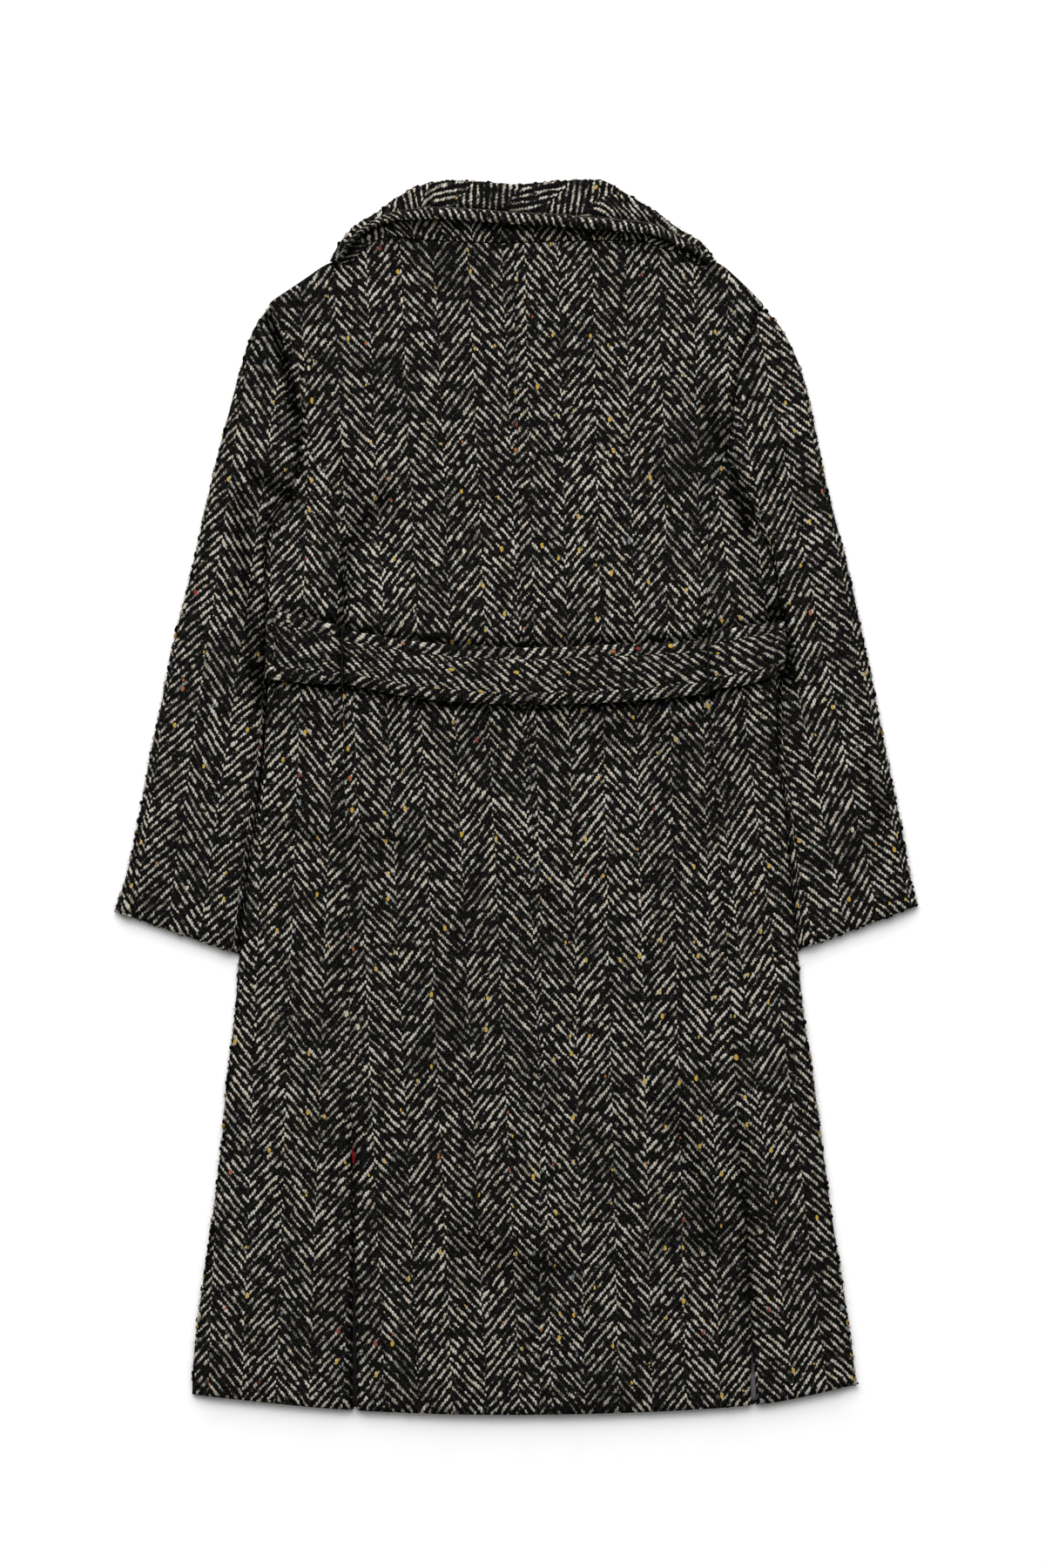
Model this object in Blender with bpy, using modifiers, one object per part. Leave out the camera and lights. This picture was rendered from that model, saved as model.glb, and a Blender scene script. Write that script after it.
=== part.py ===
"""A belted tweed coat lying flat on its front, with its back up and its collar towards +Y.

The tables are in millimetres. Left and right are as seen from above, with +X to the right.
"""
import math
from collections import namedtuple

import bmesh
import bpy

MM = 0.001

# Cloth and make
CLOTH = 3.5
COLLAR_CLOTH = 5.0
BELT_CLOTH = 5.0
LINING_CLOTH = 1.0
THREAD_RADIUS = 1.2
SEAM = 0.3
COLLAR_SEAM = 0.8
COLOUR = (0.055, 0.052, 0.045, 1.0)
LINING_COLOUR = (0.12, 0.12, 0.125, 1.0)
THREAD_COLOUR = (0.01, 0.01, 0.01, 1.0)

# Heights of the middle of each wall above the surface that the coat lies on
FRONT_MID = CLOTH / 2
FRONT_LAP_GAP = 0.7
FRONT_STEP = CLOTH + FRONT_LAP_GAP
BACK_LOW = 8.6
BACK_CROWN = 1.2
CROWN_INNER = 60.0
CROWN_OUTER = 110.0
EDGE_REACH = 3.6
EDGE_OUT = EDGE_REACH + CLOTH / 2
EDGE_STEPS = 6
SHOULDER_DROP = 2.9
SHOULDER_FADE = 20.0
SHOULDER_ROWS = (6.0, 3.2, 1.2, 0.0)

# The closing at the centre front
CLOSING_X = {"left": 55.0, "right": -45.0}
STEP_X = {"left": (-105.0, -66.0), "right": (105.0, 66.0)}
FRONT_NECK_Y = 429.0
FRONT_SEAM = 1.6

# The front stretch of the belt lifts the coat that lies on it
BELT_CLEAR = 0.8
BELT_LIFT = BELT_CLOTH + 2 * SEAM
LIFT_FULL = (105.0, 186.0)
LIFT_RAMP = 80.0

# Rows up the coat: hem to waist, waist over the belt, belt to the top of the side-back seam
SKIRT_ROWS = 12
SKIRT_Y = (-590.0, 25.0)
WAIST_ROWS = 13
WAIST_Y = 265.0
SEAM_TOP_ROWS = 3
SEAM_TOP_Y = 344.0
BACK_ARMHOLE_ROWS = 6
SIDE_COLUMNS = 3

Seams = namedtuple("Seams", "y left centre right")
SEAMS = (
    Seams(-590, -154, 23, 228),
    Seams(-471, -155, 23, 224),
    Seams(-338, -157, 23, 214),
    Seams(-154, -160, 21, 203),
    Seams(12, -164, 14, 191),
    Seams(146, -166, 6, 183),
    Seams(229, -165, 4, 183),
    Seams(271, -169, 3, 186),
    Seams(308, -182, 2, 193),
    Seams(344, -205, 1, 204),
    Seams(440, -205, -1, 204),
    Seams(530, -205, -2, 204),
)

Edges = namedtuple("Edges", "y left right")
EDGES = (
    Edges(-590, -311, 329),
    Edges(-538, -309, 323),
    Edges(-479, -302, 315),
    Edges(-404, -291, 303),
    Edges(-338, -283, 294),
    Edges(-271, -277, 285),
    Edges(-204, -269, 275),
    Edges(-150, -265, 270),
    Edges(-75, -257, 263),
    Edges(-12, -248, 258),
    Edges(40, -242, 251),
    Edges(95, -238, 251),
    Edges(142, -236, 256),
    Edges(180, -237, 253),
    Edges(221, -240, 247),
    Edges(255, -237, 235),
)

Place = namedtuple("Place", "x y")
UNDERARM = {
    "left": (Place(-229, 273), Place(-216, 286)),
    "right": (Place(222, 284), Place(208, 311)),
}
ARMHOLE = {
    "left": (Place(-209, 286), Place(-206, 313), Place(-205, 344), Place(-204, 370),
             Place(-208, 412), Place(-218, 441), Place(-232, 466)),
    "right": (Place(201, 311), Place(201, 326), Place(204, 344), Place(209, 378),
              Place(215, 415), Place(223, 440), Place(233, 464)),
}
ARMHOLE_SEAM_ROW = 2
SHOULDER = {
    "left": (Place(-236, 472), Place(-206, 492), Place(-178, 510)),
    "right": (Place(237, 470), Place(215, 492), Place(193, 510)),
}

Hem = namedtuple("Hem", "x y")
HEM = (Hem(-312, -571), Hem(-154, -586), Hem(23, -590), Hem(228, -581), Hem(330, -561))

# The right vent stands open at the hem and shows the lining
VENT_OPEN = 3.0
VENT_OPEN_TOP = -535.0
LINING_TOP = -345.0
LINING_HALF = 12.0
LINING_FOOT = -578.0
LINING_CLEAR = 0.6
LINING_ROWS = 10

# Round the neck from left to right: the roll line, the leaf's lower edge and the neck seam
Collar = namedtuple("Collar", "roll_x roll_y leaf_x leaf_y neck_x neck_y height")
COLLAR = (
    Collar(-175, 517, -165, 518, -157, 512, 7.5),
    Collar(-168, 531, -157, 529, -148, 521, 8.0),
    Collar(-153, 547, -144, 541, -134, 532, 8.6),
    Collar(-130, 561, -123, 549, -115, 536, 9.0),
    Collar(-106, 578, -97, 552, -94, 533, 9.4),
    Collar(-79, 588, -75, 553, -69, 532, 9.8),
    Collar(-40, 589, -37, 551, -35, 530, 9.8),
    Collar(-2, 586, -2, 548, -2, 530, 9.8),
    Collar(40, 589, 38, 546, 40, 531, 9.8),
    Collar(80, 590, 77, 543, 75, 532, 9.6),
    Collar(104, 578, 102, 541, 95, 532, 9.2),
    Collar(130, 562, 127, 538, 119, 532, 8.9),
    Collar(154, 545, 148, 530, 140, 525, 8.6),
    Collar(178, 530, 170, 521, 165, 516, 8.0),
    Collar(190, 516, 183, 514, 178, 508, 7.5),
)
NECK_CENTRE_ROW = 7
LEAF_GAP = 1.8
LEAF_LIFT = 2.5
ROLL_STEPS = 6
STAND_STEPS = 2
LEAF_STEPS = 3
COLLAR_FRONT_COLUMNS = 5
COLLAR_FRONT_INSET = 12.0

Sleeve = namedtuple("Sleeve", "outer_x outer_y inner_x inner_y")
SLEEVE = {
    "left": (
        Sleeve(-236, 472, -212, 292),
        Sleeve(-251, 448, -221, 291),
        Sleeve(-263, 412, -230, 278),
        Sleeve(-274, 371, -240, 255),
        Sleeve(-285, 329, -243, 222),
        Sleeve(-297, 279, -245, 182),
        Sleeve(-310, 221, -246, 138),
        Sleeve(-325, 162, -244, 92),
        Sleeve(-338, 100, -244, 44),
        Sleeve(-352, 33, -251, -8),
        Sleeve(-364, -33, -258, -62),
        Sleeve(-374, -75, -263, -108),
        Sleeve(-385, -109, -267, -151),
    ),
    "right": (
        Sleeve(237, 470, 204, 317),
        Sleeve(253, 451, 211, 316),
        Sleeve(270, 417, 222, 292),
        Sleeve(281, 379, 235, 263),
        Sleeve(290, 333, 248, 228),
        Sleeve(300, 288, 257, 190),
        Sleeve(313, 239, 264, 145),
        Sleeve(327, 179, 259, 98),
        Sleeve(340, 117, 254, 52),
        Sleeve(354, 46, 259, 2),
        Sleeve(368, -21, 264, -55),
        Sleeve(377, -71, 268, -104),
        Sleeve(385, -104, 272, -147),
    ),
}
HEAD_FADE_ROWS = 2.5
HEAD_SEAM = 0.8

Belt = namedtuple("Belt", "x top bottom")
BELT = (
    Belt(-230, 178, 113),
    Belt(-210, 174, 110),
    Belt(-185, 168, 108),
    Belt(-166, 160, 109),
    Belt(-145, 156, 105),
    Belt(-100, 149, 96),
    Belt(-50, 144, 91),
    Belt(20, 142, 89),
    Belt(90, 145, 91),
    Belt(140, 147, 95),
    Belt(178, 150, 99),
    Belt(192, 158, 104),
    Belt(225, 164, 109),
    Belt(248, 168, 122),
)
BELT_ACROSS = 4
BELT_UNDER_STEPS = 6
LOOP_X = {"left": -166.0, "right": 183.5}
LOOP_REACH = 3.0
LOOP_CLEAR = 0.5

# Large soft folds of the back and sleeves: a line, its half width and its rise
Fold = namedtuple("Fold", "x0 y0 x1 y1 half rise")
FOLDS = (
    Fold(-172, 330, -150, 262, 24, -1.5),
    Fold(180, 380, 212, 290, 22, -1.7),
    Fold(-85, 440, -80, 300, 55, 1.6),
    Fold(95, 430, 90, 300, 60, 1.6),
    Fold(-75, -60, -85, -520, 50, 1.4),
    Fold(110, -90, 125, -520, 55, 1.5),
    Fold(-225, -120, -240, -500, 32, 1.2),
    Fold(262, -180, 275, -500, 26, 1.2),
    Fold(-290, 220, -325, -40, 30, 1.2),
    Fold(300, 220, 330, -40, 30, 1.2),
)


def smooth(start, end, value):
    """0 before start, 1 after end, soft between."""
    s = min(max((value - start) / (end - start), 0.0), 1.0)
    return s * s * (3 - 2 * s)


def mix(a, b, s):
    return tuple(p + (q - p) * s for p, q in zip(a, b))


def spline(keys, values):
    """Smooth function through values at rising keys."""
    last = len(keys) - 1
    slopes = []
    for i in range(last + 1):
        before, after = max(i - 1, 0), min(i + 1, last)
        slopes.append((values[after] - values[before]) / (keys[after] - keys[before]))

    def at(key):
        i = 0
        while i < last - 1 and key > keys[i + 1]:
            i += 1
        step = keys[i + 1] - keys[i]
        s = min(max((key - keys[i]) / step, 0.0), 1.0)
        rise = values[i + 1] - values[i]
        bend_in = slopes[i] * step - rise
        bend_out = rise - slopes[i + 1] * step
        return values[i] + s * rise + s * (1 - s) * ((1 - s) * bend_in + s * bend_out)

    return at


def column(rows, key, name):
    return spline([getattr(row, key) for row in rows], [getattr(row, name) for row in rows])


def path(places):
    """Smooth curve through places, by row number."""
    numbers = list(range(len(places)))
    along_x = spline(numbers, [place[0] for place in places])
    along_y = spline(numbers, [place[1] for place in places])
    return lambda number: (along_x(number), along_y(number))


def fold_height(x, y):
    height = 0.0
    for fold in FOLDS:
        run_x, run_y = fold.x1 - fold.x0, fold.y1 - fold.y0
        s = ((x - fold.x0) * run_x + (y - fold.y0) * run_y) / (run_x ** 2 + run_y ** 2)
        s = min(max(s, 0.0), 1.0)
        away = math.hypot(x - fold.x0 - s * run_x, y - fold.y0 - s * run_y) / fold.half
        height += fold.rise * math.exp(-away * away)
    return height


def lift(y):
    low, high = LIFT_FULL
    return BELT_LIFT * smooth(low - LIFT_RAMP, low, y) * (1 - smooth(high, high + LIFT_RAMP, y))


def sleeve_mid(x, y):
    return BACK_LOW + fold_height(x, y)


def back_mid(x, y):
    crown = BACK_CROWN * (1 - smooth(CROWN_INNER, CROWN_OUTER, abs(x)))
    return BACK_LOW + crown + lift(y) + fold_height(x, y)


hem_y = column(HEM, "x", "y")
centre_x = column(SEAMS, "y", "centre")
seam_x = {side: column(SEAMS, "y", side) for side in ("left", "right")}
armhole = {side: path(ARMHOLE[side]) for side in ("left", "right")}
outward = {"left": -1, "right": 1}


def edge_line(side):
    """The side fold's outermost line up to the underarm, as x by y."""
    places = [(row.y, getattr(row, side)) for row in EDGES]
    places += [(place.y, place.x) for place in UNDERARM[side]]
    return spline([y for y, x in places], [x for y, x in places])


edge_x = {side: edge_line(side) for side in ("left", "right")}


def seam_levels():
    """Heights of the rows from just above the hem to the top of the side-back seam."""
    low, waist = SKIRT_Y
    levels = [low + (waist - low) * i / SKIRT_ROWS for i in range(1, SKIRT_ROWS)]
    levels += [waist + (WAIST_Y - waist) * i / WAIST_ROWS for i in range(WAIST_ROWS)]
    top_step = (SEAM_TOP_Y - WAIST_Y) / SEAM_TOP_ROWS
    levels += [WAIST_Y + top_step * i for i in range(SEAM_TOP_ROWS + 1)]
    return levels


LEVELS = seam_levels()


def vent(side, y):
    """How far a vent's edge stands back from its seam line."""
    if side == "left":
        return 0.0
    return VENT_OPEN * smooth(VENT_OPEN_TOP, SKIRT_Y[0], y)


def line_up(x_at):
    """A line of places up a seam, from the hem to the top of the side-back seam."""
    foot = SKIRT_Y[0]
    places = [(x_at(foot), hem_y(x_at(foot)))]
    return places + [(x_at(y), y) for y in LEVELS]


def armhole_places(side, first, last, count):
    return [armhole[side](first + (last - first) * i / count) for i in range(count + 1)]


def patch(outer, inner, bottom, top):
    """Places of a panel between four lines: rows up the panel, from outer to inner."""
    rows = []
    low, high = outer[0][1], outer[-1][1]
    for start, end in zip(outer, inner):
        v = (start[1] - low) / (high - low)
        row = []
        for down, up in zip(bottom, top):
            u = (down[0] - bottom[0][0]) / (bottom[-1][0] - bottom[0][0])
            place = []
            for k in range(2):
                sides = (1 - u) * start[k] + u * end[k]
                ends = (1 - v) * down[k] + v * up[k]
                low_corner = (1 - u) * bottom[0][k] + u * bottom[-1][k]
                high_corner = (1 - u) * top[0][k] + u * top[-1][k]
                place.append(sides + ends - (1 - v) * low_corner - v * high_corner)
            row.append(tuple(place))
        rows.append(row)
    return rows


def pull_in(rows, first=0.0, last=0.0, top=0.0):
    """Draw the first and last column, and the top row, back from their seams."""
    for row in rows:
        if first:
            row[0] = towards(row[0], row[1], first)
        if last:
            row[-1] = towards(row[-1], row[-2], last)
    if top:
        rows[-1] = [towards(high, low, top) for high, low in zip(rows[-1], rows[-2])]
    return rows


def towards(place, other, distance):
    length = math.dist(place, other)
    return mix(place, other, distance / length)


def between(start, end, count):
    return [mix(start, end, i / count) for i in range(count + 1)]


def hem_line(x_start, x_end, count):
    return [(x, hem_y(x)) for (x,) in between((x_start,), (x_end,), count)]


def cloth(name, colour):
    material = bpy.data.materials.new(name + "_cloth")
    material.use_nodes = True
    shader = material.node_tree.nodes["Principled BSDF"]
    shader.inputs["Base Color"].default_value = colour
    shader.inputs["Roughness"].default_value = 0.95
    shader.inputs["Metallic"].default_value = 0.0
    return material


def wall(name, rows, thickness=CLOTH, closed=False, colour=COLOUR):
    """A cloth wall whose middle passes through rows of places."""
    last_row, last_column = len(rows) - 1, len(rows[0]) - 1
    mesh = bpy.data.meshes.new(name)
    grid = bmesh.new()
    bmesh.ops.create_grid(grid, x_segments=last_column, y_segments=last_row, size=1.0)
    for vertex in grid.verts:
        j = round((vertex.co.x + 1) / 2 * last_column)
        i = round((vertex.co.y + 1) / 2 * last_row)
        vertex.co = [value * MM for value in rows[i][j]]
    if closed:
        bmesh.ops.remove_doubles(grid, verts=grid.verts, dist=0.01 * MM)
    bmesh.ops.recalc_face_normals(grid, faces=grid.faces)
    grid.to_mesh(mesh)
    grid.free()
    mesh.shade_smooth()
    mesh.materials.append(cloth(name, colour))
    piece = bpy.data.objects.new(name, mesh)
    coat.objects.link(piece)
    solid = piece.modifiers.new("cloth", "SOLIDIFY")
    solid.thickness = thickness * MM
    solid.offset = 0.0
    solid.use_quality_normals = True
    return piece


def back(side):
    """Half of the back, from the side-back seam and armhole to the centre seam."""
    edge = armhole_places(side, ARMHOLE_SEAM_ROW, len(ARMHOLE[side]) - 1, BACK_ARMHOLE_ROWS)
    shoulder_point = SHOULDER[side][0]
    tip = [towards(shoulder_point, edge[-1], d) if d else shoulder_point for d in SHOULDER_ROWS[1:]]
    sign = outward[side]
    seam = line_up(lambda y: seam_x[side](y) - sign * vent(side, y))
    outer = seam[:-1] + edge + tip
    middle = line_up(centre_x)
    neck_y = COLLAR[NECK_CENTRE_ROW].neck_y
    climb = [(centre_x(y), y) for (y,) in
             between((SEAM_TOP_Y,), (neck_y - SHOULDER_ROWS[0],), BACK_ARMHOLE_ROWS)]
    climb += [(centre_x(neck_y), neck_y - d) for d in SHOULDER_ROWS[1:]]
    inner = middle[:-1] + climb
    if side == "left":
        neck = COLLAR[:NECK_CENTRE_ROW + 1]
    else:
        neck = COLLAR[NECK_CENTRE_ROW:][::-1]
    top = list(SHOULDER[side]) + [(row.neck_x, row.neck_y) for row in neck]
    bottom = hem_line(outer[0][0], inner[0][0], len(top) - 1)
    rows = pull_in(patch(outer, inner, bottom, top), SEAM / 2, SEAM / 2, SEAM)
    neck_side = abs(neck[0].neck_x)
    solid_rows = []
    for i, row in enumerate(rows):
        to_edge = SHOULDER_ROWS[max(i - len(rows) + len(SHOULDER_ROWS), 0)] / SHOULDER_ROWS[0]
        drop = SHOULDER_DROP * (1 - math.sqrt(1 - (1 - to_edge) ** 2))
        placed = []
        for x, y in row:
            on_shoulder = smooth(neck_side, neck_side + SHOULDER_FADE, abs(x))
            placed.append((x, y, back_mid(x, y) - drop * on_shoulder))
        solid_rows.append(placed)
    return wall("back_" + side, solid_rows)


def side_top(side):
    """The side panel's upper layer, from the side-back seam to where the side fold begins."""
    sign = outward[side]
    seam = line_up(lambda y: seam_x[side](y) + sign * vent(side, y))
    low, high = seam[0][1], seam[-1][1]
    underarm = ARMHOLE[side][0]
    foot_x = edge_x[side](low) - sign * EDGE_OUT
    foot = (foot_x, hem_y(foot_x))
    fold = [foot]
    for x, y in seam[1:]:
        level = foot[1] + (underarm.y - foot[1]) * (y - low) / (high - low)
        fold.append((edge_x[side](level) - sign * EDGE_OUT, level))
    fold[-1] = (underarm.x, underarm.y)
    top = armhole_places(side, ARMHOLE_SEAM_ROW, 0, SIDE_COLUMNS)
    bottom = hem_line(seam[0][0], foot[0], SIDE_COLUMNS)
    return pull_in(patch(seam, fold, bottom, top), SEAM / 2, 0.0, SEAM / 2)


def round_fold(place, direction, high, low, reach, steps=EDGE_STEPS):
    """Places round a fold, after the first, from the upper layer to the lower one."""
    places = []
    for k in range(1, steps + 1):
        turn = math.pi * k / steps
        out = reach * math.sin(turn)
        z = (high + low) / 2 + (high - low) / 2 * math.cos(turn)
        places.append((place[0] + direction[0] * out, place[1] + direction[1] * out, z))
    return places


def side_panel(side):
    solid_rows = []
    for row in side_top(side):
        placed = [(x, y, back_mid(x, y)) for x, y in row]
        x, y = row[-1]
        low = FRONT_MID + lift(y)
        placed += round_fold((x, y), (outward[side], 0), placed[-1][2], low, EDGE_REACH)
        solid_rows.append(placed)
    return wall("side_" + side, solid_rows)


def neckline_y(side, x):
    """The front's straight neckline, from the side of the neck down to the closing edge."""
    neck = COLLAR[0] if side == "left" else COLLAR[-1]
    share = (x - neck.neck_x) / (CLOSING_X[side] - neck.neck_x)
    return neck.neck_y + (FRONT_NECK_Y - neck.neck_y) * share


def front(side):
    """A front, flat on the surface, from the side fold and armhole to its closing edge.

    The left front steps up to lie on the right one.
    """
    closing = CLOSING_X[side]
    fold = [row[-1] for row in side_top(side)]
    last = len(ARMHOLE[side]) - 1
    edge = armhole_places(side, 0, last, SIDE_COLUMNS + BACK_ARMHOLE_ROWS)[1:]
    outer = fold + edge + [SHOULDER[side][0]]
    low, high = outer[0][1], outer[-1][1]
    foot = hem_y(closing)
    inner = [(closing, foot + (FRONT_NECK_Y - foot) * (y - low) / (high - low)) for x, y in outer]
    neck = COLLAR[0] if side == "left" else COLLAR[-1]
    over_neck = [neck.neck_x, *STEP_X[side], closing]
    top = list(SHOULDER[side][:2]) + [(x, neckline_y(side, x)) for x in over_neck]
    shoulder_share = (outer[0][0] - neck.neck_x) / 3
    at_hem = [outer[0][0] - shoulder_share * j for j in range(3)] + over_neck[1:]
    bottom = [(x, hem_y(x)) for x in at_hem]
    rows = pull_in(patch(outer, inner, bottom, top), FRONT_SEAM, 0.0, SEAM / 2)
    solid_rows = []
    for row in rows:
        placed = []
        for j, (x, y) in enumerate(row):
            step = FRONT_STEP if side == "left" and j >= len(row) - 2 else 0.0
            placed.append((x, y, FRONT_MID + lift(y) + step))
        solid_rows.append(placed)
    return wall("front_" + side, solid_rows)


def collar_front(side):
    """The collar's hidden front part, flat on the surface above the front's neckline."""
    closing = (CLOSING_X["left"] + CLOSING_X["right"]) / 2
    if side == "left":
        rolls = COLLAR[:NECK_CENTRE_ROW + 1]
    else:
        rolls = COLLAR[NECK_CENTRE_ROW:][::-1]
    neck_side = (rolls[0].neck_x, rolls[0].neck_y)
    foot = (closing, neckline_y(side, closing))
    low_line = between(neck_side, foot, COLLAR_FRONT_COLUMNS)
    crown = path([(row.roll_x, row.roll_y) for row in rolls])
    high_line = []
    for j in range(COLLAR_FRONT_COLUMNS + 1):
        x, y = crown(1 + (len(rolls) - 2) * j / COLLAR_FRONT_COLUMNS)
        high_line.append((x, y - COLLAR_FRONT_INSET))
    solid_rows = []
    for i in range(3):
        row = [mix(low, high, i / 2) for low, high in zip(low_line, high_line)]
        solid_rows.append(row)
    solid_rows[0] = [towards(low, high, 2 * SEAM) for low, high in zip(low_line, high_line)]
    for row in solid_rows:
        row[-1] = (row[-1][0] + outward[side] * SEAM, row[-1][1])
        row[:] = [(x, y, FRONT_MID) for x, y in row]
    return wall("collar_front_" + side, solid_rows)


def collar():
    """Stand and leaf in one doubled strip, folded over at the roll line."""
    rise = COLLAR_CLOTH + LEAF_GAP
    reach = rise / 2
    columns = []
    for row in COLLAR:
        neck = (row.neck_x, row.neck_y + COLLAR_SEAM)
        roll = (row.roll_x, row.roll_y)
        leaf = (row.leaf_x, row.leaf_y)
        turn = towards(roll, neck, reach + COLLAR_CLOTH / 2)
        out = [(b - a) / math.dist(neck, roll) for a, b in zip(neck, roll)]
        section = [place + (row.height,) for place in between(neck, turn, STAND_STEPS)]
        arc = round_fold(turn, out, row.height, row.height + rise, reach, ROLL_STEPS)
        section += arc
        for k, place in enumerate(between(turn, leaf, LEAF_STEPS)[1:], 1):
            section.append(place + (row.height + rise + LEAF_LIFT * (k / LEAF_STEPS) ** 2,))
        columns.append(section)
    return wall("collar", columns, COLLAR_CLOTH)


def sleeve(side):
    """A flattened tube from the armhole to the open cuff."""
    count = SIDE_COLUMNS + BACK_ARMHOLE_ROWS
    last = len(ARMHOLE[side]) - 1
    head = armhole_places(side, last, ARMHOLE_SEAM_ROW, BACK_ARMHOLE_ROWS)
    head += armhole_places(side, ARMHOLE_SEAM_ROW, 0, SIDE_COLUMNS)[1:]
    sign = outward[side]
    bows = [(x - a, y - b) for (x, y), (a, b) in zip(head, between(head[0], head[-1], count))]
    solid_rows = []
    for i, row in enumerate(SLEEVE[side]):
        outer, inner = (row.outer_x, row.outer_y), (row.inner_x, row.inner_y)
        along = [(b - a) / math.dist(outer, inner) for a, b in zip(outer, inner)]
        inner_reach = EDGE_REACH if i else SEAM
        if i:
            start, end = towards(outer, inner, EDGE_OUT), towards(inner, outer, EDGE_OUT)
        else:
            start, end = head[0], inner
        fade = math.exp(-(i / HEAD_FADE_ROWS) ** 2)
        over = []
        for (x, y), bow in zip(between(start, end, count), bows):
            x, y = x + bow[0] * fade + sign * HEAD_SEAM, y + bow[1] * fade
            over.append((x, y, sleeve_mid(x, y)))
        under = [(x, y, FRONT_MID) for x, y, z in reversed(over)]
        ring = over + round_fold(over[-1], along, over[-1][2], FRONT_MID, inner_reach)[:-1] + under
        back_out = [-value for value in along]
        if not i:
            tip = SHOULDER[side][0]
            back_out = [(b - a) / math.dist(head[0], tip) for a, b in zip(head[0], tip)]
        ring += round_fold(under[-1], back_out, FRONT_MID, over[0][2], EDGE_REACH)[:-1]
        solid_rows.append(ring + [ring[0]])
    return wall("sleeve_" + side, solid_rows, closed=True)


def belt_height(x, y):
    return back_mid(x, y) + CLOTH / 2 + BELT_CLEAR + BELT_CLOTH / 2


def belt():
    """One doubled strip right round the coat, over the back and under the fronts."""
    strips = []
    for a in range(BELT_ACROSS + 1):
        share = a / BELT_ACROSS
        over = []
        for row in BELT:
            over.append((row.x, row.bottom + (row.top - row.bottom) * share))
        low = BELT_CLOTH / 2
        reach = EDGE_OUT + BELT_CLEAR + BELT_CLOTH / 2
        ends = {}
        for side, end in (("left", 0), ("right", -1)):
            y = over[end][1]
            ends[side] = (edge_x[side](y) - outward[side] * EDGE_OUT, y)
        over[0], over[-1] = ends["left"], ends["right"]
        ring = [(x, y, belt_height(x, y)) for x, y in over]
        ring += round_fold(ends["right"], (1, 0), ring[-1][2], low, reach)
        under = between(ends["right"], ends["left"], BELT_UNDER_STEPS)[1:]
        ring += [(x, y, low) for x, y in under]
        ring += round_fold(ends["left"], (-1, 0), low, ring[0][2], reach)[:-1]
        strips.append(ring + [ring[0]])
    return wall("belt", strips, BELT_CLOTH, closed=True)


def belt_loop(side):
    """A thread loop that stands over the belt on the side-back seam."""
    x = LOOP_X[side]
    top = column(BELT, "x", "top")(x)
    bottom = column(BELT, "x", "bottom")(x)
    over = BELT_CLOTH / 2 + LOOP_CLEAR + THREAD_RADIUS
    ground = CLOTH / 2 + SEAM
    places = []
    for y, rise in ((bottom - LOOP_REACH, 0), (bottom - LOOP_REACH, 1), (top + LOOP_REACH, 1),
                    (top + LOOP_REACH, 0)):
        z = belt_height(x, y) + over if rise else back_mid(x, y) + ground
        places.append((x, y, z))
    thread = bpy.data.curves.new("belt_loop_" + side, "CURVE")
    thread.dimensions = "3D"
    thread.bevel_depth = THREAD_RADIUS * MM
    thread.bevel_resolution = 2
    thread.use_fill_caps = True
    line = thread.splines.new("POLY")
    line.points.add(len(places) - 1)
    for point, place in zip(line.points, places):
        point.co = [value * MM for value in place] + [1.0]
    thread.materials.append(cloth("belt_loop_" + side, THREAD_COLOUR))
    piece = bpy.data.objects.new("belt_loop_" + side, thread)
    coat.objects.link(piece)
    return piece


def vent_lining():
    """The strip of lining behind the right vent."""
    solid_rows = []
    for (y,) in between((LINING_TOP,), (LINING_FOOT,), LINING_ROWS):
        line = [seam_x["right"](y) + share * LINING_HALF for share in (-1, 0, 1)]
        z = min(back_mid(x, y) for x in line) - CLOTH / 2 - LINING_CLEAR - LINING_CLOTH / 2
        solid_rows.append([(x, y, z) for x in line])
    return wall("vent_lining", solid_rows, LINING_CLOTH, colour=LINING_COLOUR)


def build_coat():
    for side in ("left", "right"):
        back(side)
        side_panel(side)
        front(side)
        sleeve(side)
        collar_front(side)
        belt_loop(side)
    collar()
    belt()
    vent_lining()


for old in list(bpy.data.objects):
    bpy.data.objects.remove(old, do_unlink=True)
coat = bpy.data.collections.new("belted_coat")
bpy.context.scene.collection.children.link(coat)
build_coat()
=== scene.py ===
"""The looks of the belted tweed coat: fine cloth, weave, nap, camera and light.

The tables are in millimetres and repeat the solids' own. Left and right are as seen from above.
"""

import math
from collections import namedtuple

import bmesh
import bpy
import numpy as np
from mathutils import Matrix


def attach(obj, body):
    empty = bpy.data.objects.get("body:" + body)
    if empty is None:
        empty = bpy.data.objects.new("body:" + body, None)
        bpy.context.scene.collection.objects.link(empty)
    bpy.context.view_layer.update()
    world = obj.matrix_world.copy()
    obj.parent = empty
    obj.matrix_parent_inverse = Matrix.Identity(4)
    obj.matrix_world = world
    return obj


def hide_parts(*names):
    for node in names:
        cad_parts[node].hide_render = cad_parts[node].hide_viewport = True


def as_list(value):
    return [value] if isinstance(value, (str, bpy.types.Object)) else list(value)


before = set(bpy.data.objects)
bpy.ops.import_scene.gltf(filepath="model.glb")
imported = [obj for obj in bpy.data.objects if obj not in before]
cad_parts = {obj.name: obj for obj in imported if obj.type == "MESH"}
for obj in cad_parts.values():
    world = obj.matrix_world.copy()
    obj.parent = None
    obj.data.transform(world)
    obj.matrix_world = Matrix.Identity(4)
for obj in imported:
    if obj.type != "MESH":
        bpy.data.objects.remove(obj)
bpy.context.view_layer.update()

MM = 0.001
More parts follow.
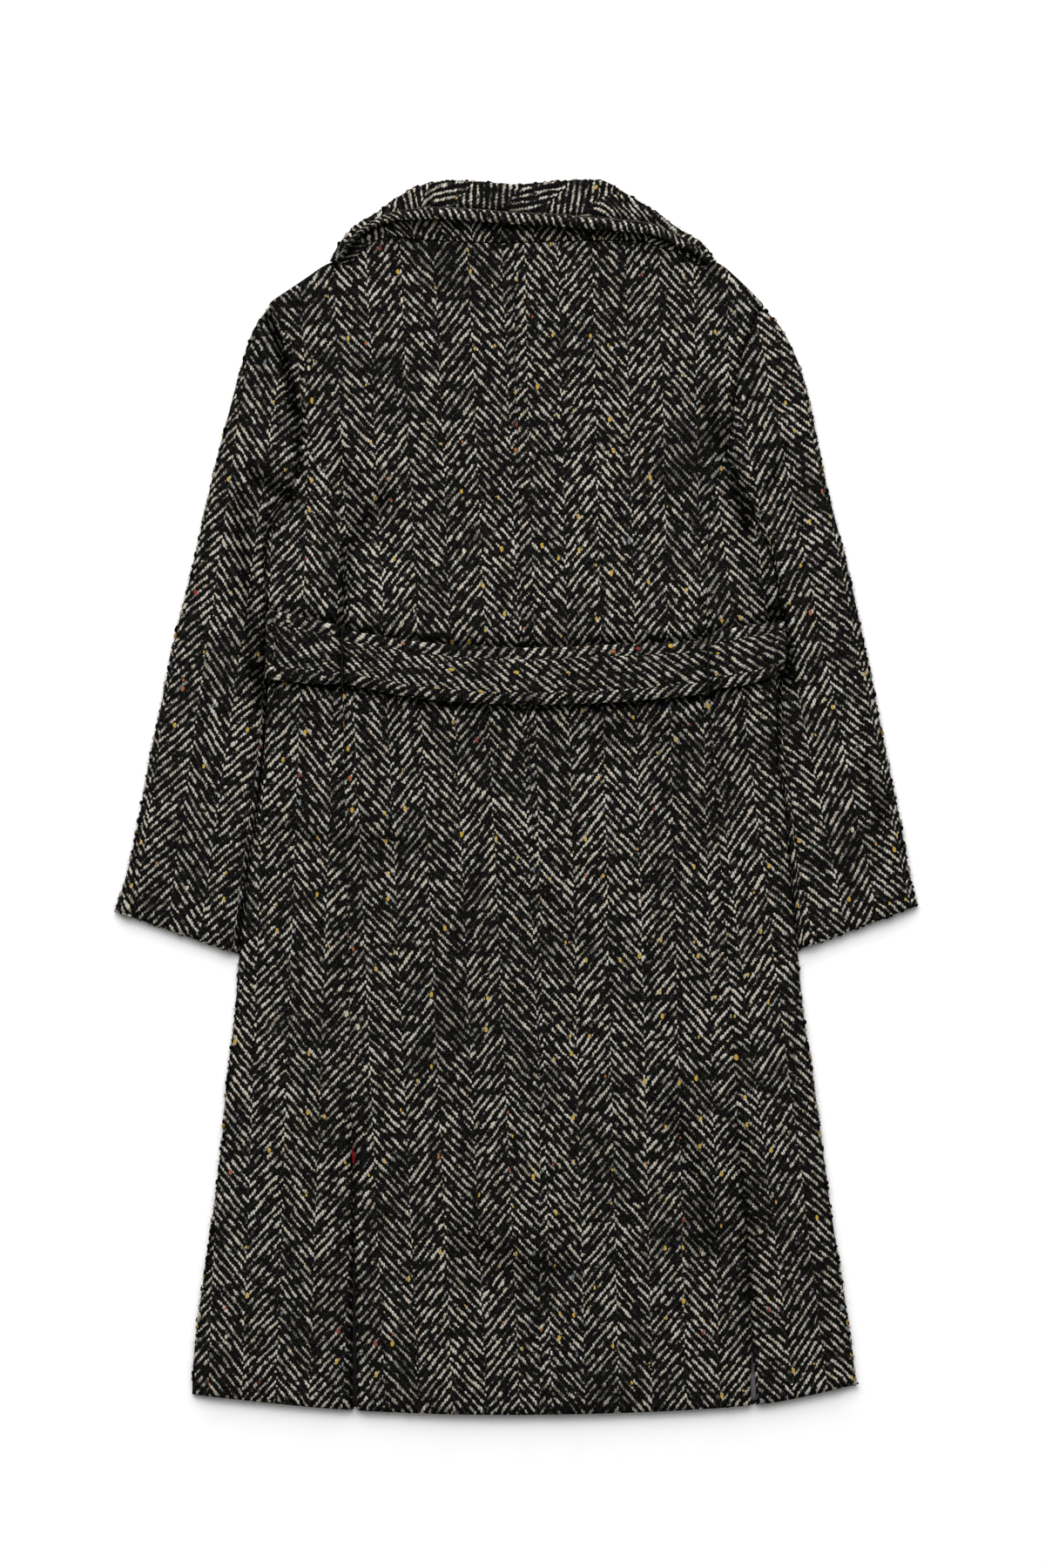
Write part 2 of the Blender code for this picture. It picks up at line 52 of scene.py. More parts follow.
SIDES = ("left", "right")
OUTWARD = {"left": -1, "right": 1}


def named(kind, table):
    """A table's rows with named columns."""
    return tuple(kind(*row) for row in table)


def link(name, data):
    """A new piece in the scene."""
    piece = bpy.data.objects.new(name, data)
    bpy.context.scene.collection.objects.link(piece)
    return piece


# Camera: straight down on a frame of 1.0 by 1.5 m
VIEW_X, VIEW_Y, VIEW_LEVEL = 0.00625, 0.0125, 0.012
FRAME_LENGTH = 1.5
LENS, FILM = 100.0, 36.0

camera_data = bpy.data.cameras.new("camera")
camera_data.lens = LENS
camera_data.sensor_width = FILM
camera_data.clip_end = 50.0
camera = link("camera", camera_data)
camera.location = (VIEW_X, VIEW_Y, VIEW_LEVEL + FRAME_LENGTH * LENS / FILM)
bpy.context.scene.camera = camera

# Cloth
CLOTH = 3.5
COLLAR_CLOTH = 5.0
BELT_CLOTH = 5.0
LINING_CLOTH = 1.0
SEAM = 0.3
SEAM_MEET = 0.3
COLLAR_SEAM = 0.8
FRONT_CLOTH = 2.0
UNDER_MID = CLOTH / 2
FRONT_STEP = FRONT_CLOTH + 0.3
BACK_LOW = 8.6
BACK_CROWN = 1.2
CROWN_INNER, CROWN_OUTER = 60.0, 110.0
EDGE_REACH = 3.6
EDGE_OUT = EDGE_REACH + CLOTH / 2
EDGE_FALL = 2.2
SHOULDER_DROP = 2.9
SHOULDER_FADE = 20.0
SHOULDER_ROWS = (6.0, 4.6, 3.4, 2.4, 1.6, 0.9, 0.4, 0.0)
CLOSING_X = {"left": 55.0, "right": -45.0}
STEP_X = {"left": (-105.0, -66.0), "right": (105.0, 66.0)}
FRONT_NECK_Y = 429.0
FRONT_SEAM = 1.6
BELT_CLEAR = 0.8
BELT_RISE = 1.5
PINCH, PINCH_HALF = {"left": 5.5, "right": 1.2}, {"left": 4.2, "right": 4.0}
BELT_EDGE_ROWS = (0.0, 0.6, 1.4, 2.4, 3.6)
BELT_STEPS, BELT_FOLD_STEPS, BELT_UNDER_STEPS = 150, 14, 60
BELT_LIFT = BELT_CLOTH + 2 * SEAM
LIFT_FULL = (105.0, 186.0)
LIFT_RAMP = 80.0
FOOT_Y, SEAM_TOP_Y = -590.0, 344.0
GRAIN_STEP, CLOSE_ROWS = 3.0, (0.0, 0.7, 1.6, 2.8, 4.2, 6.0)
BACK_WIDTH, SLEEVE_WIDTH, BELT_WIDTH = 180.0, 105.0, 54.0
DOUBLED_FROM, DOUBLED_TO, LEAST_GAP = (-110.0, -60.0), (50.0, 62.0), 0.2
HELD_FROM, HELD_TO, HELD_LEAST = (-200.0, -174.0), (182.0, 206.0), 0.35

Seams = namedtuple("Seams", "y left centre right")
SEAMS = named(Seams, (
    (-590, -154, 23, 228),
    (-471, -155, 23, 224),
    (-338, -157, 23, 214),
    (-154, -160, 21, 203),
    (12, -164, 14, 191),
    (146, -166, 6, 183),
    (229, -165, 4, 183),
    (271, -169, 3, 186),
    (308, -182, 2, 193),
    (344, -205, 1, 204),
    (440, -205, -1, 204),
    (530, -205, -2, 204),
))

Edges = namedtuple("Edges", "y left right")
EDGES = named(Edges, (
    (-590, -311, 329),
    (-538, -309, 323),
    (-479, -302, 315),
    (-404, -291, 303),
    (-338, -283, 294),
    (-271, -277, 285),
    (-204, -269, 275),
    (-150, -265, 270),
    (-75, -257, 263),
    (-12, -248, 258),
    (40, -242, 251),
    (95, -238, 251),
    (142, -236, 256),
    (180, -237, 253),
    (221, -240, 247),
    (255, -237, 235),
))

Place = namedtuple("Place", "x y")
UNDERARM = {
    "left": named(Place, ((-229, 273), (-216, 286))),
    "right": named(Place, ((222, 284), (208, 311))),
}
ARMHOLE = {
    "left": named(Place, ((-209, 286), (-206, 313), (-205, 344), (-204, 370),
                          (-208, 412), (-218, 441), (-232, 466))),
    "right": named(Place, ((201, 311), (201, 326), (204, 344), (209, 378),
                           (215, 415), (223, 440), (233, 464))),
}
ARMHOLE_SEAM_ROW = 2
SHOULDER = {
    "left": named(Place, ((-236, 472), (-206, 492), (-178, 510))),
    "right": named(Place, ((237, 470), (215, 492), (193, 510))),
}
HEM = named(Place, ((-312, -571), (-154, -586), (23, -590), (228, -581), (330, -561)))

VENT_OPEN, VENT_OPEN_FROM = {"left": 0.0, "right": 2.2}, (-565.0, -528.0)
VENT_START = (-352.0, -336.0)
VENT_PART, VENT_WIDE, PART_REACH, PART_COLUMN = 0.35, (-470.0, -400.0), 12.0, 8
TACK_X, TACK_Y, TACK_RADIUS = -156.6, -342.0, 0.45
TACK_STITCHES, TACK_STEP, TACK_BOW, TACK_SINK = 5, 0.5, 1.6, 0.4
VENT_GAP = {"left": 2.3, "right": 0.7}
LINING_TOP, LINING_FOOT, LINING_HALF, LINING_CLEAR = -345.0, -578.0, 12.0, 0.6
LINING_FALL, LINING_FALL_FROM = 2.0, (-566.0, -548.0)

Collar = namedtuple("Collar", "roll_x roll_y leaf_x leaf_y neck_x neck_y height")
COLLAR = named(Collar, (
    (-178.5, 512, -168, 513.5, -160, 508.5, 7.5),
    (-168, 531, -157, 529, -148, 521, 8.0),
    (-153, 547, -144, 541, -134, 532, 8.6),
    (-130, 561, -123, 549, -115, 536, 9.0),
    (-106, 578, -97, 552, -94, 533, 9.4),
    (-79, 588, -75, 553, -69, 532, 9.8),
    (-40, 589, -37, 551, -35, 530, 9.8),
    (-2, 586, -2, 548, -2, 530, 9.8),
    (40, 589, 38, 546, 40, 531, 9.8),
    (80, 590, 77, 543, 75, 532, 9.6),
    (104, 578, 102, 541, 95, 532, 9.2),
    (130, 562, 127, 538, 119, 532, 8.9),
    (154, 545, 148, 530, 140, 525, 8.6),
    (178, 530, 170, 521, 165, 516, 8.0),
    (192, 511.5, 184.5, 510, 179.5, 505, 7.5),
))
NECK_CENTRE_ROW = 7
LEAF_GAP = 1.8
LEAF_LIFT, LEAF_STAND = 2.5, 3.0
LEAF_EDGE, LEAF_EDGE_GRAIN, LEAF_EDGE_PITCH = 8.5, 4.0, 1.3
LEAF_FULL = (8.0, 26.0)
COLLAR_ROWS, STAND_STEPS, ROLL_STEPS, LEAF_STEPS = 130, 17, 12, 29
COLLAR_FRONT_INSET = 12.0

Sleeve = namedtuple("Sleeve", "outer_x outer_y inner_x inner_y")
SLEEVE = {
    "left": named(Sleeve, (
        (-236, 472, -211, 289),
        (-251, 448, -219, 286.5),
        (-263, 412, -229.6, 273.4),
        (-274, 371, -237.6, 255),
        (-285, 329, -240.5, 222),
        (-297, 279, -241, 182),
        (-310, 221, -243, 138),
        (-325, 162, -240.5, 92),
        (-338, 100, -242.3, 44),
        (-352, 33, -248.8, -8),
        (-364, -33, -255.6, -62),
        (-374, -75, -260.9, -108),
        (-385, -109, -265.3, -151),
    )),
    "right": named(Sleeve, (
        (237, 470, 203, 314),
        (253, 451, 209, 311.5),
        (270, 417, 222.3, 285),
        (281, 379, 232.4, 263),
        (290, 333, 245.8, 228),
        (300, 288, 253, 190),
        (313, 239, 262, 145),
        (327, 179, 253.5, 98),
        (340, 117, 251.5, 52),
        (354, 46, 257.4, 2),
        (368, -21, 261.9, -55),
        (377, -71, 266.5, -104),
        (385, -104, 270.4, -147),
    )),
}
SLEEVE_ROWS, CUFF_ROWS = 165, (0.05, 0.03, 0.015, 0.0)
HEAD_SHARE, HEAD_FADE_ROWS = 2 / 3, 2.5
BESIDE_BODY, LOW_TUCK, INNER_FOLD = 0.8, 1.0, 1.0
TUCKED = (0.6, 0.95)
CLOSE_BELOW = {"left": (258.0, 272.0), "right": (266.0, 284.0)}
HEAD_SEAM = -0.4
SLEEVE_GAP = 2.6
LOW_LIMIT = 1.5 * CLOTH + 0.1

Belt = namedtuple("Belt", "x top bottom")
BELT = named(Belt, (
    (-230, 178, 113),
    (-210, 174, 110),
    (-185, 168, 108),
    (-166, 160, 109),
    (-145, 156, 105),
    (-100, 149, 96),
    (-50, 144, 91),
    (20, 142, 89),
    (90, 145, 91),
    (140, 147, 95),
    (178, 150, 99),
    (192, 158, 104),
    (225, 164, 109),
    (248, 168, 122),
))
LOOP_X = {"left": -166.0, "right": 183.5}
LOOP_REACH, LOOP_CLEAR, LOOP_CORNER, LOOP_STEPS = 3.0, 0.5, 1.5, 160
THREAD_RADIUS, PLY_SHARE = 1.2, 0.62
PLY_TWIST, PLY_SWING = 2.2, (0.5, 0.18, 0.45)

# Folds of the back and sleeves: the places on a line, its half width and its rise
Crease = namedtuple("Crease", "places half rise")
FOLDS = named(Crease, (
    (((-172, 330), (-150, 262)), 24, -1.5),
    (((180, 380), (212, 290)), 22, -1.7),
    (((-85, 440), (-80, 300)), 55, 1.6),
    (((95, 430), (90, 300)), 60, 1.6),
    (((-75, -60), (-85, -520)), 50, 1.4),
    (((110, -90), (125, -520)), 55, 1.5),
    (((-225, -120), (-240, -500)), 32, 1.2),
    (((262, -180), (275, -500)), 26, 1.2),
    (((-290, 220), (-325, -40)), 30, 1.2),
    (((300, 220), (330, -40)), 30, 1.2),
    (((-262, 352), (-228, 330)), 15, 0.7),
    (((-270, 190), (-252, 120)), 12, -0.9),
    (((-120, 262), (-128, 205)), 16, -0.7),
    (((-205, 250), (-200, 205)), 12, 0.7),
    (((240, 402), (228, 372)), 9, -1.7),
    (((258, 330), (236, 292)), 14, -0.9),
    (((285, 250), (262, 190)), 13, 0.7),
    (((140, 270), (150, 205)), 18, -0.7),
    (((60, 90), (70, 20)), 20, -0.7),
    (((-60, 88), (-52, 10)), 22, -0.6),
    (((-190, 92), (-196, 20)), 13, -0.7),
    (((214, 92), (222, -10)), 13, -0.8),
    (((-318, 20), (-272, -4)), 12, -0.7),
    (((322, 60), (280, 30)), 13, -0.7),
    (((231, -140), (236, -165)), 9, -2.6),
    (((-20, -200), (-28, -480)), 26, -0.6),
    (((165, -250), (176, -520)), 22, -0.6),
    (((-250, -300), (-268, -530)), 16, -0.6),
))

# Sharper creases, in whose troughs shade is painted into the cloth's colour, and the rolls of cloth
# beside them
CREASES = named(Crease, (
    (((-238, 463), (-226, 430), (-218, 405), (-214, 383), (-213, 366)), 4.6, -6.5),
    (((-228, 465), (-214, 432), (-206, 404), (-203, 378)), 5.0, 4.0),
    (((-248, 446), (-239, 414), (-230, 384), (-226, 362)), 7.0, 2.8),
    (((-209, 362), (-209, 335), (-207, 312)), 4.5, -3.0),
    (((-221, 352), (-221, 330), (-218, 312)), 6.0, 2.0),
    (((-254, 309), (-234, 297), (-216, 287)), 5.5, -3.4),
    (((-252, 325), (-232, 313), (-220, 303)), 6.0, 2.4),
    (((-262, 296), (-244, 284), (-238, 270)), 6.0, 2.0),
    (((-125, 287), (-146, 263), (-160, 236), (-165, 200), (-166, 168)), 8.0, -2.6),
    (((-174, 345), (-164, 312), (-150, 284)), 7.0, -1.5),
    (((-186, 320), (-180, 270), (-182, 220)), 8.0, 1.4),
    (((-120, 262), (-138, 232), (-142, 196)), 9.0, 1.3),
    (((-264, 288), (-262, 230), (-252, 165), (-250, 120)), 9.0, -2.0),
    (((-247, 118), (-246, 88)), 8.0, -3.2),
    (((-238, -27), (-200, -38), (-150, -38), (-78, -50)), 5.0, -1.5),
    (((-156, -320), (-155, -356)), 6.0, -1.8),
    (((-40, -425), (6, -452), (44, -446)), 14.0, -1.6),
    (((186, 372), (199, 334), (211, 296), (219, 262)), 8.0, -2.0),
    (((214, 286), (230, 222), (246, 168)), 11.0, -1.5),
    (((248, 176), (257, 142), (263, 108)), 9.0, -3.0),
    (((337, 34), (347, 6), (350, -20)), 6.0, -2.0),
    (((214, -326), (222, -436), (226, -508)), 13.0, -1.2),
    (((-156, -420), (-157, -500), (-158, -588)), 4.0, -1.9),
    (((150, -300), (178, -372), (186, -430)), 13.0, -1.3),
    (((198, 366), (214, 330)), 6.0, 1.0),
    (((172, 350), (188, 290), (204, 232)), 8.0, 1.2),
    (((238, 292), (252, 318), (262, 336)), 5.0, -2.0),
))
# Crease depth in millimetres at which the painted shade is full
FULL_SHADE_DEPTH = 3.0

# Cloth beside an edge: distance from the edge, depth of the dip (a swell if below 0), half width
Groove = namedtuple("Groove", "place depth half")
BELOW_BELT, ROLL_BELOW = (Groove(1.0, 4.6, 5.0),), (Groove(16.0, -1.6, 8.0),)
ABOVE_BELT, ROLL_ABOVE = (Groove(1.0, 2.6, 4.5),), (Groove(14.0, -0.9, 8.0),)
FLAT_FOLD = (Groove(0.0, EDGE_FALL, 8.0),)
PUFFED_FOLD = (Groove(9.0, -1.3, 7.0), Groove(0.0, 1.6, 3.0))
SLEEVE_HEAD = (Groove(0.0, 3.4, 3.4), Groove(9.0, -2.2, 4.8))
CUFF = (Groove(0.0, 1.8, 3.5),)
SLEEVE_FOLD = (Groove(0.0, 1.2, 9.0),)
UNDER_LEAF = (Groove(0.0, 2.5, 8.0),)
LEAF_ROLL = (Groove(4.0, -1.6, 3.0), Groove(10.5, 2.0, 2.6), Groove(0.0, 2.5, 1.8))
BELT_RIM = (Groove(0.0, 1.6, 2.2), Groove(11.0, 0.9, 2.6))
SEAM_HALF = 2.2
SEAM_DEPTH, VENT_DEPTH, ARMHOLE_DEPTH, CENTRE_DEPTH, TOP_DEPTH = 1.2, 1.4, 2.2, 0.9, 1.0
ARMHOLE_FADE, ARMHOLE_SPREAD = 20.0, 0.8
HEM_REACH, HEM_FALL = 6.0, 2.4
PUFFED_FROM = (-190.0, -140.0)
FOLD_STEPS = 10


def lerp(start, end, share):
    return start + (end - start) * share


def norm(runs):
    return np.linalg.norm(runs, axis=-1)


def unit(runs):
    return runs / norm(runs)[..., None]


def run_length(line):
    """Distance along a line from its first place."""
    return np.concatenate([[0.0], np.cumsum(norm(np.diff(line, axis=0)))])


def smooth(start, end, value):
    """0 before start, 1 after end, soft between."""
    s = np.clip((value - start) / (end - start), 0.0, 1.0)
    return s * s * (3 - 2 * s)


def plateau(rise, fall, value):
    """0 before rise, 1 between rise and fall, 0 after fall."""
    return smooth(*rise, value) * (1 - smooth(*fall, value))


def spline(keys, values):
    """Smooth function through values at rising keys."""
    keys, values = np.asarray(keys, float), np.asarray(values, float)
    slopes = np.gradient(values, keys)
    slopes[1:-1] = (values[2:] - values[:-2]) / (keys[2:] - keys[:-2])

    def at(key):
        i = np.clip(np.searchsorted(keys, key) - 1, 0, len(keys) - 2)
        step = keys[i + 1] - keys[i]
        s = np.clip((key - keys[i]) / step, 0.0, 1.0)
        rise = values[i + 1] - values[i]
        bend_in = slopes[i] * step - rise
        bend_out = rise - slopes[i + 1] * step
        return values[i] + s * rise + s * (1 - s) * ((1 - s) * bend_in + s * bend_out)

    return at


def column(rows, key, name):
    return spline([getattr(row, key) for row in rows], [getattr(row, name) for row in rows])


def path(places):
    """Smooth curve through places, by row number."""
    places = np.asarray(places, float)
    numbers = np.arange(len(places))
    lines = [spline(numbers, places[:, k]) for k in range(places.shape[1])]
    return lambda number: np.stack([line(np.asarray(number, float)) for line in lines], -1)


def bent_distance(x, y, places):
    """Distance to a line of several straight runs."""
    nearest = np.full(np.shape(x), np.inf)
    for (x0, y0), (x1, y1) in zip(places, places[1:]):
        run_x, run_y = x1 - x0, y1 - y0
        s = np.clip(((x - x0) * run_x + (y - y0) * run_y) / (run_x ** 2 + run_y ** 2), 0.0, 1.0)
        nearest = np.minimum(nearest, np.hypot(x - x0 - s * run_x, y - y0 - s * run_y))
    return nearest


def near_crease(x, y, crease):
    """1 on a crease's line, less and less beside it."""
    return np.exp(-(bent_distance(x, y, crease.places) / crease.half) ** 2)


def fold_height(x, y):
    height = np.zeros_like(x)
    for crease in FOLDS + CREASES:
        height += crease.rise * near_crease(x, y, crease)
    return height


def crease_shade(x, y):
    """Painted shade in the creases' troughs: 1 in the deepest creases, 0 on open cloth."""
    share = np.zeros_like(x)
    for crease in CREASES:
        share += max(-crease.rise, 0.0) / FULL_SHADE_DEPTH * near_crease(x, y, crease)
    return np.clip(share, 0.0, 1.0)


def lift(y):
    low, high = LIFT_FULL
    return BELT_LIFT * plateau((low - LIFT_RAMP, low), (high, high + LIFT_RAMP), y)


def back_mid(x, y):
    crown = BACK_CROWN * (1 - smooth(CROWN_INNER, CROWN_OUTER, np.abs(x)))
    return BACK_LOW + crown + lift(y) + fold_height(x, y)


def lowest(x, y):
    """The lowest level of the back's middle, just above the fronts."""
    doubled = plateau(DOUBLED_FROM, DOUBLED_TO, x)
    return FRONT_CLOTH + FRONT_STEP * doubled + lift(y) + CLOTH / 2 + LEAST_GAP


def held_in(x):
    """The belt holds the cloth in most between its loops."""
    return lerp(HELD_LEAST, 1.0, plateau(HELD_FROM, HELD_TO, x))


def belt_dip(x, y):
    """The cloth is drawn in along the belt's edges and stands up beyond them."""
    below, above = belt_line["bottom"](x) - y, y - belt_line["top"](x)
    pinch = grooves(below, BELOW_BELT) + grooves(above, ABOVE_BELT)
    return held_in(x) * pinch + grooves(below, ROLL_BELOW) + grooves(above, ROLL_ABOVE)


hem_y = column(HEM, "x", "y")
belt_line = {edge: column(BELT, "x", edge) for edge in ("top", "bottom")}
centre_x = column(SEAMS, "y", "centre")
seam_x = {side: column(SEAMS, "y", side) for side in SIDES}
armhole = {side: path(ARMHOLE[side]) for side in SIDES}


def edge_line(side):
    """The side fold's outermost line up to the underarm, as x by y."""
    places = [(row.y, getattr(row, side)) for row in EDGES]
    places += [(place.y, place.x) for place in UNDERARM[side]]
    return spline([y for y, x in places], [x for y, x in places])


edge_x = {side: edge_line(side) for side in SIDES}


def vent(side, y):
    """How far a vent's edge stands back from its seam line."""
    return VENT_OPEN[side] * (1 - smooth(*VENT_OPEN_FROM, y))


def points(x, y):
    return np.stack([x, y], -1)


def line_up(x_at):
    """A line of places up a seam to the side-back seam's top: close near the hem, even above."""
    length, near = SEAM_TOP_Y - FOOT_Y, CLOSE_ROWS[-1]
    even = np.linspace(near, length, round((length - near) / GRAIN_STEP) + 1)
    shares = np.concatenate([CLOSE_ROWS[:-1], even]) / length
    foot_x = x_at(np.array(FOOT_Y))
    y = lerp(hem_y(foot_x), SEAM_TOP_Y, shares)
    x = x_at(y)
    x[0] = foot_x
    return points(x, y)


def spread(length, near=CLOSE_ROWS):
    """Shares of a row: close together near both ends, even between."""
    near = np.asarray(near)
    count = max(round((length - 2 * near[-1]) / GRAIN_STEP), 2)
    even = np.linspace(near[-1], length - near[-1], count + 1)[1:-1]
    return np.concatenate([near, even, (length - near)[::-1]]) / length


def between(first, second, shares):
    """Rows of places from one line to another."""
    return lerp(first[:, None], second[:, None], shares[None, :, None])


def height_share(line):
    """How far up a line each of its places is, from 0 to 1."""
    return (line[:, 1] - line[0, 1]) / (line[-1, 1] - line[0, 1])


def patch(outer, inner, bottom, top, u):
    """Places of a panel between four lines: rows up the panel, from outer to inner."""
    v = height_share(outer)[:, None, None]
    low, high = (lerp(line[0], line[-1], u[:, None]) for line in (bottom, top))
    return between(outer, inner, u) + lerp(bottom - low, top - high, v)


def towards(place, other, distance):
    return place + unit(other - place) * distance


def along(rows):
    """Distance along each row from its first place."""
    return np.array([run_length(row) for row in rows])


def on_line(at, keys, places):
    """Places on a line of straight runs, by its keys."""
    return np.stack([np.interp(at, keys, values) for values in np.transpose(places)], -1)


def half_collar(side):
    """The collar's rows from one end to the centre."""
    return COLLAR[:NECK_CENTRE_ROW + 1] if side == "left" else COLLAR[NECK_CENTRE_ROW:][::-1]


def round_fold(place, direction, high, low, reach, steps):
    """Places round a fold, after the first, from the upper layer to the lower one."""
    turn = np.pi * np.arange(1, steps + 1) / steps
    out = reach * np.sin(turn)[None, :, None]
    flat = place[:, None] + direction[:, None] * out
    z = ((high + low) / 2)[:, None] + ((high - low) / 2)[:, None] * np.cos(turn)
    return np.concatenate([flat, z[..., None]], axis=-1)


def with_z(flat, z):
    return np.concatenate([flat, np.broadcast_to(z, flat.shape[:-1])[..., None]], axis=-1)


def turned(x, y, degrees):
    """Grain coordinates turned against the coat's own directions."""
    c, s = math.cos(math.radians(degrees)), math.sin(math.radians(degrees))
    return points(c * x + s * y, c * y - s * x)


def shell(name, rows, grain, thickness=CLOTH, closed=False, crease_shade_mask=None):
    """A thin closed shell whose middle passes through rows of places, with grain in millimetres."""
    crease_shade_mask = np.zeros(rows.shape[:2]) if crease_shade_mask is None else crease_shade_mask
    across = rows.shape[1] - 1 if closed else rows.shape[1]
    i, j = np.mgrid[0:rows.shape[0] - 1, 0:rows.shape[1] - 1]
    corners = [(i, j), (i, j + 1), (i + 1, j + 1), (i + 1, j)]
    faces = np.stack([a * across + b % across for a, b in corners], -1).reshape(-1, 4)
    name = name + "_cloth"
    mesh = bpy.data.meshes.new(name)
    mesh.from_pydata((rows[:, :across] * MM).reshape(-1, 3).tolist(), [], faces.tolist())
    laid = np.stack([grain[a, b] for a, b in corners], -2).reshape(-1, 2) * MM
    layer = mesh.uv_layers.new(name="grain")
    layer.data.foreach_set("uv", laid.astype(np.float32).ravel())
    # Painted shade for the creases, kept on the mesh for the material
    nap_and_shade = mesh.attributes.new("crease_shade", "FLOAT", "POINT")
    nap_and_shade.data.foreach_set("value", crease_shade_mask[:, :across].astype(np.float32).ravel())
    mesh.shade_smooth()
    piece = link(name, mesh)
    solid = piece.modifiers.new("cloth", "SOLIDIFY")
    solid.thickness = thickness * MM
    solid.offset = 0.0
    solid.use_quality_normals = True
    return piece


def groove(distance, depth, half=SEAM_HALF):
    return -depth * np.exp(-(distance / half) ** 2)


def grooves(distance, rows):
    return sum(groove(distance - row.place, row.depth, row.half) for row in rows)


def fold_roll(distance, puffed):
    """The cloth falls towards a fold at its edge, or swells beside it where it is puffed."""
    return lerp(grooves(distance, FLAT_FOLD), grooves(distance, PUFFED_FOLD), puffed)


def round_drop(share):
    """The fall towards a round edge: 1 at the edge, where share is 0, and 0 where share is 1."""
    return 1 - np.sqrt(1 - (1 - share) ** 2)


def hem_drop(y, x):
    """How far the cloth rolls down near its hem."""
    return -HEM_FALL * round_drop(np.clip((y - hem_y(x)) / HEM_REACH, 0.0, 1.0))


def vent_share(y):
    """1 where the side-back seams have become vents, 0 above."""
    return 1 - smooth(*VENT_START, y)


def seam_groove(run, y):
    """The side-back seam's groove: shallow in the waist, deep at the armhole and vent."""
    armhole_share = smooth(SEAM_TOP_Y - ARMHOLE_FADE, SEAM_TOP_Y + ARMHOLE_FADE, y)
    depth = SEAM_DEPTH + VENT_DEPTH * vent_share(y) + ARMHOLE_DEPTH * armhole_share
    return groove(run / (1 + ARMHOLE_SPREAD * armhole_share), 1.0) * depth


def part_seam(flat, side):
    """Panels meet along the side-back seam and part a little at the vent."""
    y = flat[:, :1, 1]
    opened = VENT_PART * vent_share(y) + (1 - VENT_PART) * (1 - smooth(*VENT_WIDE, y))
    gap = lerp(-SEAM_MEET, VENT_GAP[side], opened)
    away = unit(flat[:, PART_COLUMN] - flat[:, 0])
    near = np.clip(1 - along(flat) / PART_REACH, 0.0, 1.0)
    return flat + (away * gap)[:, None] * near[..., None]


def back(side):
    """Half of the back, from the side-back seam and armhole to the centre seam."""
    sign = OUTWARD[side]
    last = len(ARMHOLE[side]) - 1
    edge = armhole[side](np.linspace(ARMHOLE_SEAM_ROW, last, 38))
    point = np.array(SHOULDER[side][0], float)
    tip = np.array([towards(point, edge[-1], d) for d in SHOULDER_ROWS[1:-1]] + [point])
    seam = line_up(lambda y: seam_x[side](y) - sign * vent(side, y))
    outer = np.concatenate([seam[:-1], edge, tip])
    neck_y = COLLAR[NECK_CENTRE_ROW].neck_y
    climb = np.concatenate([np.linspace(SEAM_TOP_Y, neck_y - SHOULDER_ROWS[0], len(edge)),
                            neck_y - np.array(SHOULDER_ROWS[1:])])
    inner = np.concatenate([line_up(centre_x)[:-1], points(centre_x(climb), climb)])
    neck = half_collar(side)
    high = list(SHOULDER[side]) + [(row.neck_x, row.neck_y) for row in neck]
    u = spread(BACK_WIDTH)
    top = path(high)(u * (len(high) - 1))
    x = lerp(outer[0, 0], inner[0, 0], u)
    flat = patch(outer, inner, points(x, hem_y(x)), top, u)
    flat = part_seam(flat, side)
    flat[:, -1] = towards(flat[:, -1], flat[:, -2], -SEAM_MEET)
    x, y = flat[..., 0], flat[..., 1]
    to_edge = np.ones(len(flat))
    to_edge[-len(SHOULDER_ROWS):] = np.array(SHOULDER_ROWS) / SHOULDER_ROWS[0]
    drop = SHOULDER_DROP * round_drop(to_edge)
    neck_side = abs(neck[0].neck_x)
    on_shoulder = smooth(neck_side, neck_side + SHOULDER_FADE, np.abs(x))
    run = along(flat)
    z = back_mid(x, y) + belt_dip(x, y) - drop[:, None] * on_shoulder + hem_drop(y, x)
    z += seam_groove(run, y) + groove(run[:, -1:] - run, CENTRE_DEPTH)
    z = np.maximum(z, lowest(x, y))
    grain = turned(x, y, BACK_TURN[side]) + (BACK_GRAIN[side], 0.0)
    # The back carries painted shade in its creases
    return shell("back_" + side, with_z(flat, z), grain, crease_shade_mask=crease_shade(x, y))


def side_top(side):
    """The side panel's upper layer, from the side-back seam to where the side fold begins."""
    sign = OUTWARD[side]
    seam = line_up(lambda y: seam_x[side](y) + sign * vent(side, y))
    underarm = np.array(ARMHOLE[side][0], float)
    foot_x = edge_x[side](seam[0, 1]) - sign * EDGE_OUT
    foot = hem_y(foot_x)
    level = lerp(foot, underarm[1], height_share(seam))
    fold = points(edge_x[side](level) - sign * EDGE_OUT, level)
    fold[0], fold[-1] = (foot_x, foot), underarm
    u = spread(abs(foot_x - seam[0, 0]))
    top = armhole[side](ARMHOLE_SEAM_ROW * (1 - u))
    x = lerp(seam[0, 0], foot_x, u)
    flat = patch(seam, fold, points(x, hem_y(x)), top, u)
    return part_seam(flat, side)


